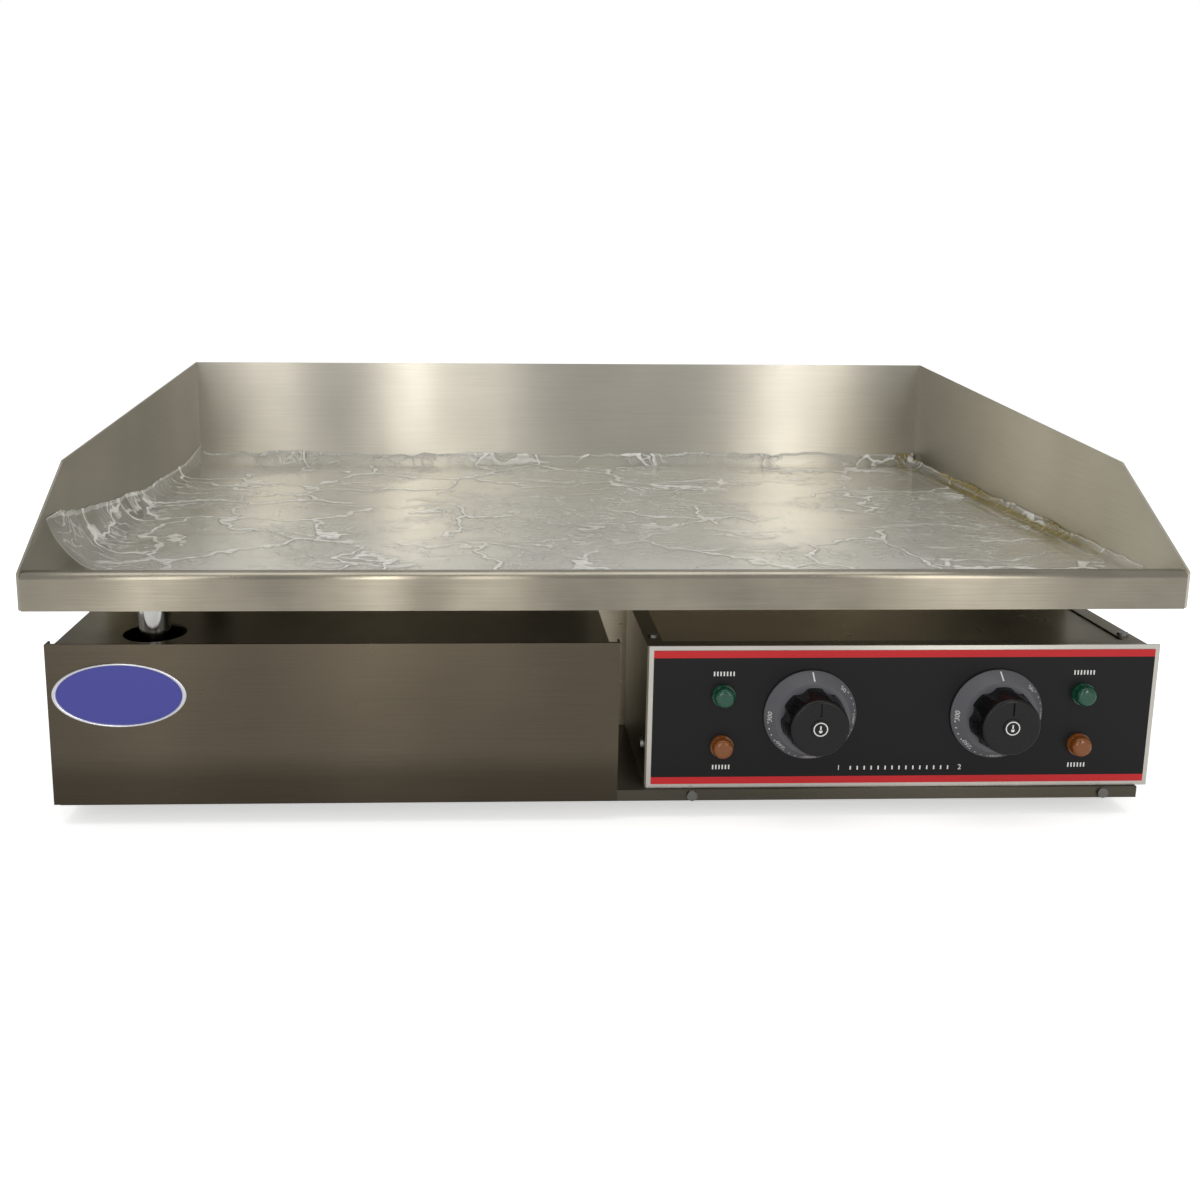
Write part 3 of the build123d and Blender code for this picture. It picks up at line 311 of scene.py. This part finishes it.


# The strong streaks along the tube are partly draw marks and partly painted reflection.
tube_chrome = brushed_steel("drawn chromed tube with painted reflection", "#e3e3e0", "Z", rough=0.12, aniso=0.3,
                            contrast=0.35, cloud_mm=30, scratch_mm=2.2, relief_mm=0.15)
dress(tube_chrome, "drain_tube")
# The case screws get a darker tint than the zinc plated ones: painted shade.
dress(plain_metal("darkened screw steel", "#7c7b78", 0.3), "case_screws")
dress(plain_metal("zinc plated steel", "#b9babb", 0.28), "thermostat_screws",
      "terminal_screws", "clamp_bars", "clamp_nuts", "plate_studs", "left_runner", "right_runner",
      "left_spindle", "right_spindle", "lamp_nuts", "heat_shield")
dress(plain_metal("turned brass", "#c4a75a", 0.25), "earth_stud")
dress(plain_metal("drawn copper", "#b97a58", 0.3), "left_sensor", "right_sensor")
dress(plain_metal("scaled element sheath", "#58524b", 0.5, wear=0.2), "left_element", "right_element")

# %% [markdown]
# ## The control panel
# The panel is a bright folded sheet with a printed film stuck on it: satin black with a red
# band near its top and bottom edges. The bands are print, so they live in the film's colour,
# placed by height above the film's own lower edge.

# %% Printed black face
face_low, face_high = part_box("panel_overlay")
band, margin = 4.4 * MM, 0.4 * MM
material, tree, shader = finish("printed polyester face")
place = add(tree, "ShaderNodeTexCoord").outputs["Object"]
height = add(tree, "ShaderNodeSeparateXYZ", {0: place}).outputs["Z"]
above = add(tree, "ShaderNodeMath", {0: height, 1: face_high.z - margin - band}, operation="GREATER_THAN")
below = add(tree, "ShaderNodeMath", {0: height, 1: face_low.z + margin + band}, operation="LESS_THAN")
banded = add(tree, "ShaderNodeMath", {0: above, 1: below}, operation="MAXIMUM")
colour = add(tree, "ShaderNodeMix", {0: banded, 6: srgb("#171718"), 7: srgb("#c92c31")},
             data_type="RGBA").outputs[2]
pebble = add(tree, "ShaderNodeTexNoise", {"Vector": place, "Scale": 1 / (0.8 * MM), "Detail": 3.0})
relief = add(tree, "ShaderNodeBump", {"Height": pebble, "Strength": 0.1, "Distance": 0.05 * MM})
plug(tree, shader, {"Base Color": colour, "Roughness": 0.38, "Normal": relief,
                    "Specular IOR Level": 0.22})
dress(material, "panel_overlay")
panel_steel = brushed_steel("bright panel edge", "#d4d1c9", "X", rough=0.25, contrast=0.04)
dress(panel_steel, "control_panel")

# %% [markdown]
# ## Knobs, lamps and other mouldings
# The dial skirts are satin grey mouldings, the grips glossy black phenolic. The pilot lenses
# are clear tinted plastic: light goes in, is coloured, and comes back out of the white holder.

# %% Moulded plastics
def moulded(name, colour, rough, grain_mm=1.2, bump=0.12, specular=0.5):
    """An injection moulding: even colour, with the tool's fine texture in its gloss."""
    material, tree, shader = finish(name)
    place = add(tree, "ShaderNodeTexCoord").outputs["Object"]
    texture = add(tree, "ShaderNodeTexNoise",
                  {"Vector": place, "Scale": 1 / (grain_mm * MM), "Detail": 4.0})
    gloss = add(tree, "ShaderNodeMapRange",
                {"Value": texture, "From Min": 0.3, "From Max": 0.7,
                 "To Min": rough, "To Max": rough + 0.08})
    relief = add(tree, "ShaderNodeBump",
                 {"Height": texture, "Strength": bump, "Distance": 0.05 * MM})
    plug(tree, shader, {"Base Color": srgb(colour), "Roughness": gloss, "Normal": relief,
                        "Specular IOR Level": specular})
    return material


dress(moulded("satin grey dial moulding", "#606166", 0.38), "left_dial_skirt", "right_dial_skirt")
dress(moulded("glossy black phenolic", "#0e0e0f", 0.24, specular=0.35),
      "left_knob_grip", "right_knob_grip", "left_knob_cap", "right_knob_cap")
dress(moulded("white nylon", "#e4e2da", 0.5), "lamp_holders")
dress(moulded("steatite ceramic", "#d9d0bd", 0.6), "left_thermostat", "right_thermostat",
      "plate_cutouts", "terminal_block")
dress(moulded("pressed mineral wool", "#bfb08a", 0.9, grain_mm=4, bump=0.8), "insulation_blanket")
dress(moulded("red silicone insulation", "#9c3a2e", 0.5), "supply_wires", "heater_wires")
dress(moulded("black nylon", "#242425", 0.45), "cable_gland", "gland_nut")
dress(moulded("black rubber", "#222222", 0.7), "foot_front_left", "foot_front_right",
      "foot_rear_left", "foot_rear_right")


def tinted(name, colour):
    """Clear plastic dyed through its thickness."""
    material, tree, shader = finish(name)
    place = add(tree, "ShaderNodeTexCoord").outputs["Object"]
    ripple = add(tree, "ShaderNodeTexNoise", {"Vector": place, "Scale": 1 / (2.5 * MM)})
    relief = add(tree, "ShaderNodeBump", {"Height": ripple, "Strength": 0.4, "Distance": 0.3 * MM})
    plug(tree, shader, {"Base Color": srgb(colour), "Roughness": 0.08, "IOR": 1.49,
                        "Transmission Weight": 0.35, "Coat Weight": 0.4, "Coat Roughness": 0.05,
                        "Normal": relief})
    return material


dress(tinted("green acrylic", "#0c5a40"), "left_power_lens", "right_power_lens")
dress(tinted("amber acrylic", "#985514"), "left_heat_lens", "right_heat_lens")

# %% [markdown]
# ## The protective film
# New plates are sold under a thin clear film. It clings flat in islands and stands up in
# creases between them, and its spare edge climbs the guards. It is made as one fine grid: its
# height is a network of creases, sharp where two islands meet, plus a curl along three sides.

# %% The bed that the film lies on
film_low, film_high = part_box("protective_film")
bed_z, top_z = film_low.z + 0.2 * MM, film_high.z - 0.5 * MM
print("film bed:", [round(size / MM) for size in film_high - film_low], "mm")

# %% Folds between the islands
island, stretch = 95 * MM, 1.2                  # how wide an island is, and how much less deep
fold_share, fold_rise, ripple_rise = 0.035, 1.1 * MM, 0.25 * MM
wander_pitch, wander_reach, wander_layer = 9, 22 * MM, 3.1   # pitches are in waves per metre
patch_pitch, patch_layer = 6, 8.0
ripple_pitch, ripple_fall, ripple_step, ripple_octaves = 120, 0.6, 2.2, 3


def crease_height(x, y):
    """Height of the folds at one place: a wandering network of edges between flat islands."""
    wander = noise.noise_vector(Vector((x * wander_pitch, y * wander_pitch, wander_layer))) * wander_reach
    near, _ = noise.voronoi(Vector((x + wander.x, y * stretch + wander.y, 0)) / island)
    fold = math.exp(-(near[1] - near[0]) / fold_share)
    patch = 0.5 + 0.5 * noise.noise(Vector((x * patch_pitch, y * patch_pitch, patch_layer)))
    ripple = noise.fractal(Vector((x, y, 0)) * ripple_pitch, ripple_fall, ripple_step, ripple_octaves)
    return (fold_rise * fold + ripple_rise * ripple) * patch


# %% Edges that climb the guards
front_left_rise, left_rise, back_left_rise = 36 * MM, 9 * MM, 13 * MM
right_rise, back_rise = 8 * MM, 13 * MM


def reaches(x, y, share):
    """How far up the left, right and back guards the ragged edge climbs at one place."""
    wobble = noise.noise(Vector((x * 14, y * 14, 1))) * MM
    jag = noise.noise(Vector((x * 70, y * 70, 4))) * MM
    left = front_left_rise * (1 - share) ** 2 + left_rise + back_left_rise * share ** 6
    return left + 3 * wobble + 2 * jag, right_rise + 3 * wobble + 2 * jag, back_rise + 4 * wobble + 3 * jag


def curl_height(gap, reach):
    """A round climb towards a guard: gap is the distance to it, reach how far up the film goes."""
    if gap >= reach:
        return 0.0
    return reach - math.sqrt(max(0.0, reach * reach - (reach - gap) ** 2))


def grid_steps(low, high, count):
    """Steps across the film that crowd together at both ends, where it curls."""
    return [low + (high - low) * (1 - math.cos(math.pi * i / (count - 1))) / 2 for i in range(count)]


# %% Lay the grid
columns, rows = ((330, 210))
clear, hem, full_curl = 0.3 * MM, 0.8 * MM, 10 * MM
xs = grid_steps(film_low.x + clear, film_high.x - clear, columns)
ys = grid_steps(film_low.y + clear, film_high.y - clear, rows)
points, curls, edges = [], [], []
for y in ys:
    share = (y - ys[0]) / (ys[-1] - ys[0])
    for x in xs:
        left, right, back = reaches(x, y, share)
        climb = max(curl_height(x - film_low.x, left), curl_height(film_high.x - x, right),
                    curl_height(film_high.y - y, back))
        height = min(max(crease_height(x, y), 0.0) + climb, top_z - bed_z)
        points.append((x, y, bed_z + height))
        curls.append(min(1.0, climb / full_curl))
        # The rows within hem of the border are the film's free edge, which gets a painted highlight.
        edges.append(float(min(x - xs[0], xs[-1] - x, y - ys[0], ys[-1] - y) < hem))
faces = [(r * columns + c, r * columns + c + 1, (r + 1) * columns + c + 1, (r + 1) * columns + c)
         for r in range(rows - 1) for c in range(columns - 1)]
film_mesh = bpy.data.meshes.new("crumpled_film")
film_mesh.from_pydata(points, [], faces)
film_mesh.polygons.foreach_set("use_smooth", [True] * len(faces))
film_mesh.attributes.new("curl", "FLOAT", "POINT").data.foreach_set("value", curls)
film_mesh.attributes.new("edge", "FLOAT", "POINT").data.foreach_set("value", edges)
film = bpy.data.objects.new("crumpled_film", film_mesh)
bpy.context.scene.collection.objects.link(film)
print("film:", len(points), "points")

# %% [markdown]
# ## The film's finish
# The film is polythene, blown thin and clear. Where it lies flat it hardly shows. It catches the
# light along wide creases, in crinkled patches, on slanted lines where it was dragged, and on
# small trapped bubbles. Each of the four is its own pattern, and the strongest one shows.

# %% Helpers for the film's patterns
material, tree, shader = finish("clear polythene film")
place = add(tree, "ShaderNodeTexCoord").outputs["Object"]


def patches(size_mm, detail, offset, low, high):
    """Soft-edged patches about size_mm across. The lower low and high are, the more they cover."""
    moved = add(tree, "ShaderNodeMapping", {"Vector": place, "Location": (offset, offset, 0)})
    cloud = add(tree, "ShaderNodeTexNoise",
                {"Vector": moved, "Scale": 1 / (size_mm * MM), "Detail": detail})
    return add(tree, "ShaderNodeMapRange", {"Value": cloud, "From Min": low, "From Max": high},
               interpolation_type="SMOOTHSTEP")


def drawn(distance, core, fringe, patch):
    """Full where distance is under core, gone beyond fringe, and kept only where patch is high."""
    line = add(tree, "ShaderNodeMapRange",
               {"Value": distance, "From Min": core, "From Max": fringe, "To Min": 1.0, "To Max": 0.0},
               interpolation_type="SMOOTHSTEP")
    return add(tree, "ShaderNodeMath", {0: line, 1: patch}, operation="MULTIPLY")


# %% Creases and crinkles
channel_mm, crinkle_mm, warp_mm, warp_reach = 92, 17, 45, 0.07
warp = add(tree, "ShaderNodeTexNoise", {"Vector": place, "Scale": 1 / (warp_mm * MM), "Detail": 3.0})
centred = add(tree, "ShaderNodeVectorMath", {0: warp.outputs["Color"], 1: (0.5, 0.5, 0.5)},
              operation="SUBTRACT")
drift = add(tree, "ShaderNodeVectorMath", {0: centred, "Scale": warp_reach}, operation="SCALE")
bent = add(tree, "ShaderNodeVectorMath", {0: place, 1: drift}, operation="ADD")
wide_patch = patches(120, 1.0, 0.0, 0.36, 0.50)
fine_patch = patches(95, 2.0, 0.37, 0.44, 0.58)
channel_edge, crinkle_edge = (
    add(tree, "ShaderNodeTexVoronoi", {"Vector": bent, "Scale": 1 / (cell_mm * MM)},
        feature="DISTANCE_TO_EDGE") for cell_mm in (channel_mm, crinkle_mm))
channels = drawn(channel_edge, 0.012, 0.036, wide_patch)
crinkles = drawn(crinkle_edge, 0.01, 0.09, fine_patch)
print("creases every", channel_mm, "mm, crinkles every", crinkle_mm, "mm")

# %% Drag lines and bubbles
drag_long_mm, drag_wide_mm, drag_turn, bubble_mm = 210, 26, 0.62, 7.5
slanted = add(tree, "ShaderNodeMapping",
              {"Vector": bent, "Rotation": (0, 0, drag_turn),
               "Scale": (1 / (drag_long_mm * MM), 1 / (drag_wide_mm * MM), 1.0)})
drag = add(tree, "ShaderNodeTexNoise", {"Vector": slanted, "Scale": 1.0, "Detail": 1.0})
off_middle = add(tree, "ShaderNodeMath", {0: drag, 1: 0.5}, operation="SUBTRACT")
from_line = add(tree, "ShaderNodeMath", {0: off_middle}, operation="ABSOLUTE")
drags = drawn(from_line, 0.004, 0.018, patches(150, 1.0, 0.81, 0.38, 0.50))
# Each trapped bubble shows as a bright dot: a painted glint.
bubbles = add(tree, "ShaderNodeTexVoronoi", {"Vector": bent, "Scale": 1 / (bubble_mm * MM)})
beads = drawn(bubbles, 0.10, 0.24, patches(38, 2.0, 0.53, 0.53, 0.60))
crest = channels
for pattern, strength in ((crinkles, 0.5), (drags, 0.75), (beads, 0.85)):
    faint = add(tree, "ShaderNodeMath", {0: pattern, 1: strength}, operation="MULTIPLY")
    crest = add(tree, "ShaderNodeMath", {0: crest, 1: faint}, operation="MAXIMUM")
print("bubbles about", bubble_mm, "mm apart")

# %% Oil along the right guard
# Packing oil has crept under the film there and yellowed it in runs.
oil_start, oil_full = film_high.x - 46 * MM, film_high.x - 6 * MM
across = add(tree, "ShaderNodeSeparateXYZ", {0: place}).outputs["X"]
beside = add(tree, "ShaderNodeMapRange", {"Value": across, "From Min": oil_start, "From Max": oil_full},
             interpolation_type="SMOOTHSTEP")
run = add(tree, "ShaderNodeMapping",
          {"Vector": place, "Scale": (1 / (7 * MM), 1 / (130 * MM), 1 / (9 * MM))})
streak = add(tree, "ShaderNodeTexNoise", {"Vector": run, "Scale": 1.0, "Detail": 2.0})
runs = add(tree, "ShaderNodeMapRange", {"Value": streak, "From Min": 0.40, "From Max": 0.60},
           interpolation_type="SMOOTHSTEP")
oily = add(tree, "ShaderNodeMath", {0: beside, 1: runs}, operation="MULTIPLY")
print("oil reaches", round((film_high.x - oil_start) / MM), "mm in from the right")

# %% Clear polythene
# cover is how much of the plate the film hides: a little everywhere, more on each pattern, and more along
# the free edge as a painted highlight.
curl = add(tree, "ShaderNodeAttribute", attribute_name="curl").outputs["Fac"]
edge = add(tree, "ShaderNodeAttribute", attribute_name="edge").outputs["Fac"]
dull = add(tree, "ShaderNodeMix", {0: crest, 6: srgb("#cfcec6"), 7: srgb("#f2f1ea")},
           data_type="RGBA").outputs[2]
tint = add(tree, "ShaderNodeMix", {0: oily, 6: dull, 7: srgb("#8d7c34")}, data_type="RGBA").outputs[2]
cover = 0.13
for pattern, weight in ((crest, 0.55), (fine_patch, 0.18), (curl, 0.07), (edge, 0.45), (oily, 0.42)):
    cover = add(tree, "ShaderNodeMath", {0: pattern, 1: weight, 2: cover}, operation="MULTIPLY_ADD",
                use_clamp=True)
grain = add(tree, "ShaderNodeTexNoise", {"Vector": place, "Scale": 1 / (4.5 * MM), "Detail": 4.0})
grain_rise = add(tree, "ShaderNodeMapRange", {"Value": fine_patch, "To Min": 0.25, "To Max": 1.1},
                 interpolation_type="SMOOTHSTEP")
height = add(tree, "ShaderNodeMath", {0: grain, 1: grain_rise, 2: crest}, operation="MULTIPLY_ADD")
relief = add(tree, "ShaderNodeBump", {"Height": height, "Strength": 1.0, "Distance": 2.2 * MM})
plug(tree, shader, {"Base Color": tint, "Alpha": cover, "Roughness": 0.07, "IOR": 1.5,
                    "Specular IOR Level": 1.0, "Normal": relief})
film_mesh.materials.append(material)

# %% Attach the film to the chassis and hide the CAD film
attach(film, "chassis")
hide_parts("protective_film")

# %% [markdown]
# ## Marks on the dials
# The dial skirts carry plain temperature numbers and dots, printed in white on the cone. Flat
# type is laid on the cone by turning its sideways run into an angle round the knob.

# %% Ink, type and small shapes
ink, tree, shader = finish("white pad print")
plug(tree, shader, {"Base Color": srgb("#e8e8e6"), "Roughness": 0.5})


def flat_type(text, size):
    """The vertices and faces of a word or number set in flat type, centred on its own middle."""
    curve = bpy.data.curves.new("type", "FONT")
    curve.body = text
    curve.size = size
    curve.align_x = "CENTER"
    curve.align_y = "CENTER"
    holder = bpy.data.objects.new("type", curve)
    bpy.context.scene.collection.objects.link(holder)
    shape = bpy.data.meshes.new_from_object(holder.evaluated_get(bpy.context.evaluated_depsgraph_get()))
    vertices = [tuple(v.co) for v in shape.vertices]
    polygons = [tuple(p.vertices) for p in shape.polygons]
    bpy.data.objects.remove(holder)
    bpy.data.curves.remove(curve)
    bpy.data.meshes.remove(shape)
    return vertices, polygons


def ink_piece(name, vertices, polygons, body):
    """A printed piece, riding on a body."""
    shape = bpy.data.meshes.new(name)
    shape.from_pydata(vertices, [], polygons)
    shape.materials.append(ink)
    piece = bpy.data.objects.new(name, shape)
    bpy.context.scene.collection.objects.link(piece)
    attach(piece, body)
    return piece


def disc(radius, count, drop=0.0):
    """A flat round dot of count corners, drop below its place."""
    turns = [math.tau * i / count for i in range(count)]
    return [(radius * math.cos(a), radius * math.sin(a) - drop, 0) for a in turns], [tuple(range(count))]


def rectangle(width, height, lift=0.0):
    """A flat upright rectangle, lift above its place."""
    x, y = width / 2, height / 2
    return [(-x, lift - y, 0), (x, lift - y, 0), (x, lift + y, 0), (-x, lift + y, 0)], [(0, 1, 2, 3)]


# %% Numbers and dots on the skirts
base_radius, top_radius, skirt_rim = 30 * MM, 24 * MM, 1 * MM
dial_proud = 0.12 * MM
number_size, dot_radius, dot_lift = 4.6 * MM, 0.55 * MM, 1.6 * MM
first_angle, step_angle = 46, 45  # degrees
first_number, number_count, dots_between = 50, 6, 4


def dial_marks(side):
    """The numbers, dots and zero line on one dial skirt."""
    low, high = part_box(f"{side}_dial_skirt")
    middle_x, middle_z = (low.x + high.x) / 2, (low.z + high.z) / 2
    depth = high.y - skirt_rim - low.y
    slant = math.hypot(base_radius - top_radius, depth)
    vertices, polygons = [], []

    def stamp(shape, angle, v=0.0):
        """Lays a flat shape on the cone: its x runs round, its y outwards from the slope's middle."""
        points, faces = shape
        start = len(vertices)
        for px, py, _ in points:
            share = 0.5 + (py + v) / slant
            radius = top_radius + (base_radius - top_radius) * share
            around = angle + px / radius
            vertices.append((middle_x + (radius + dial_proud) * math.sin(around),
                             low.y + depth * share - dial_proud,
                             middle_z + (radius + dial_proud) * math.cos(around)))
        polygons.extend(tuple(start + i for i in face) for face in faces)

    stamp(rectangle(1.0 * MM, 6.8 * MM), 0.0)
    for step in range(number_count):
        angle = math.radians(first_angle + step_angle * step)
        stamp(flat_type(str(first_number * (step + 1)), number_size), angle)
        if step < number_count - 1:
            for dot in range(1, dots_between + 1):
                turn = math.radians(step_angle * dot / (dots_between + 1))
                stamp(disc(dot_radius, 12), angle + turn, dot_lift)
    return ink_piece(f"{side}_dial_print", vertices, polygons, f"{side}_knob")


for side in ("left", "right"):
    piece = dial_marks(side)
    print(piece.name, len(piece.data.vertices), "points")

# %% [markdown]
# ## Marks on the panel and the caps
# Captions are only rows of plain ticks, with the zone numbers 1 and 2 at the ends of the
# lowest row. Each cap has a white ring round a plain bar and dot.

# %% Flat prints
def flat_print(name, shapes, y, body):
    """Flat shapes printed in one plane that faces the cook."""
    vertices, polygons = [], []
    for shape, (x, z) in shapes:
        start = len(vertices)
        vertices.extend((x + px, y, z + pz) for px, pz, _ in shape[0])
        polygons.extend(tuple(start + i for i in face) for face in shape[1])
    print(name, len(vertices), "points")
    return ink_piece(name, vertices, polygons, body)


def tick_row(x, z, count, pitch, height):
    """A row of equal ticks about one place on the panel."""
    return [(rectangle(0.9 * MM, height), (x + (i - (count - 1) / 2) * pitch, z)) for i in range(count)]


# %% Captions on the panel
caption_lift, caption_pitch, caption_tall = 14.5 * MM, 2.1 * MM, 3.0 * MM
row_lift, row_count, row_pitch, row_tall = 10.5 * MM, 15, 4.6 * MM, 2.6 * MM
zone_size, zone_shift, panel_proud = 5.0 * MM, 40 * MM, 0.08 * MM
shapes = []
for side in ("left", "right"):
    for lamp, lift, count in (("power", caption_lift, 7), ("heat", -caption_lift, 6)):
        low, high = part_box(f"{side}_{lamp}_lens")
        shapes += tick_row((low.x + high.x) / 2, (low.z + high.z) / 2 + lift, count,
                           caption_pitch, caption_tall)
middle_x, row_z = (face_low.x + face_high.x) / 2, face_low.z + row_lift
shapes += tick_row(middle_x, row_z, row_count, row_pitch, row_tall)
for number, shift in (("1", -zone_shift), ("2", zone_shift)):
    shapes.append((flat_type(number, zone_size), (middle_x + shift, row_z)))
flat_print("panel_print", shapes, face_low.y - panel_proud, "chassis")

# %% Marks on the caps
ring_inner, ring_outer, corner_count, cap_proud = 3.9 * MM, 4.6 * MM, 40, 0.06 * MM
turns = [math.tau * i / corner_count for i in range(corner_count)]
ring = ([(r * math.cos(a), r * math.sin(a), 0) for r in (ring_inner, ring_outer) for a in turns],
        [(i, (i + 1) % corner_count, corner_count + (i + 1) % corner_count, corner_count + i)
         for i in range(corner_count)])
cap_shapes = (ring, disc(1.1 * MM, corner_count, drop=1.3 * MM),
              rectangle(0.9 * MM, 3.2 * MM, lift=0.7 * MM))
for side in ("left", "right"):
    low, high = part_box(f"{side}_knob_cap")
    centre = ((low.x + high.x) / 2, (low.z + high.z) / 2)
    flat_print(f"{side}_cap_print", [(shape, centre) for shape in cap_shapes],
               low.y - cap_proud, f"{side}_knob")

# %% [markdown]
# ## The badge
# The badge is a pressed oval, enamelled blue inside a bright raised rim and left blank. It is
# made as rings of one oval that step up the rim, drop into the field and swell to its middle.

# %% Press the oval
# Each pair is a share of the oval's half width and height, and how high that ring stands.
profile = [(1.0, 0.0), (1.0, 0.75), (0.985, 0.98), (0.965, 1.0), (0.945, 0.85), (0.935, 0.6),
           (0.90, 0.62), (0.75, 0.72), (0.5, 0.82), (0.25, 0.88)]
middle_rise, rim_from, steps = 0.9, 0.94, 96
low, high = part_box("badge_plate")
centre_x, centre_z = (low.x + high.x) / 2, (low.z + high.z) / 2
half_wide, half_tall, thick = (high.x - low.x) / 2, (high.z - low.z) / 2, high.y - low.y
vertices = [(centre_x + half_wide * share * math.cos(math.tau * i / steps), high.y - thick * rise,
             centre_z + half_tall * share * math.sin(math.tau * i / steps))
            for share, rise in profile for i in range(steps)]
vertices.append((centre_x, high.y - thick * middle_rise, centre_z))
rings = [range(r * steps, (r + 1) * steps) for r in range(len(profile))]
faces = [(outer[i], outer[(i + 1) % steps], inner[(i + 1) % steps], inner[i])
         for outer, inner in zip(rings, rings[1:]) for i in range(steps)]
faces += [(rings[-1][i], rings[-1][(i + 1) % steps], len(vertices) - 1) for i in range(steps)]
badge_mesh = bpy.data.meshes.new("oval_badge")
badge_mesh.from_pydata(vertices, [], faces)
badge_mesh.polygons.foreach_set("use_smooth", [True] * len(faces))
rims = [float(share > rim_from) for share, _ in profile for i in range(steps)] + [0.0]
badge_mesh.attributes.new("rim", "FLOAT", "POINT").data.foreach_set("value", rims)
badge = bpy.data.objects.new("oval_badge", badge_mesh)
bpy.context.scene.collection.objects.link(badge)
print("badge:", len(vertices), "points")

# %% Enamel it
material, tree, shader = finish("blue enamel in a bright rim")
rim = add(tree, "ShaderNodeAttribute", attribute_name="rim").outputs["Fac"]
place = add(tree, "ShaderNodeTexCoord").outputs["Object"]
orange_peel = add(tree, "ShaderNodeTexNoise", {"Vector": place, "Scale": 1 / (2 * MM), "Detail": 2.0})
relief = add(tree, "ShaderNodeBump", {"Height": orange_peel, "Strength": 0.2, "Distance": 0.05 * MM})
colour = add(tree, "ShaderNodeMix", {0: rim, 6: srgb("#34379a"), 7: srgb("#dcdde3")},
             data_type="RGBA").outputs[2]
plug(tree, shader, {"Base Color": colour, "Metallic": rim, "Roughness": 0.22,
                    "Coat Weight": 0.5, "Coat Roughness": 0.08, "Normal": relief})
badge_mesh.materials.append(material)
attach(badge, "drawer")
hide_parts("badge_plate")
print("badge finish:", material.name)
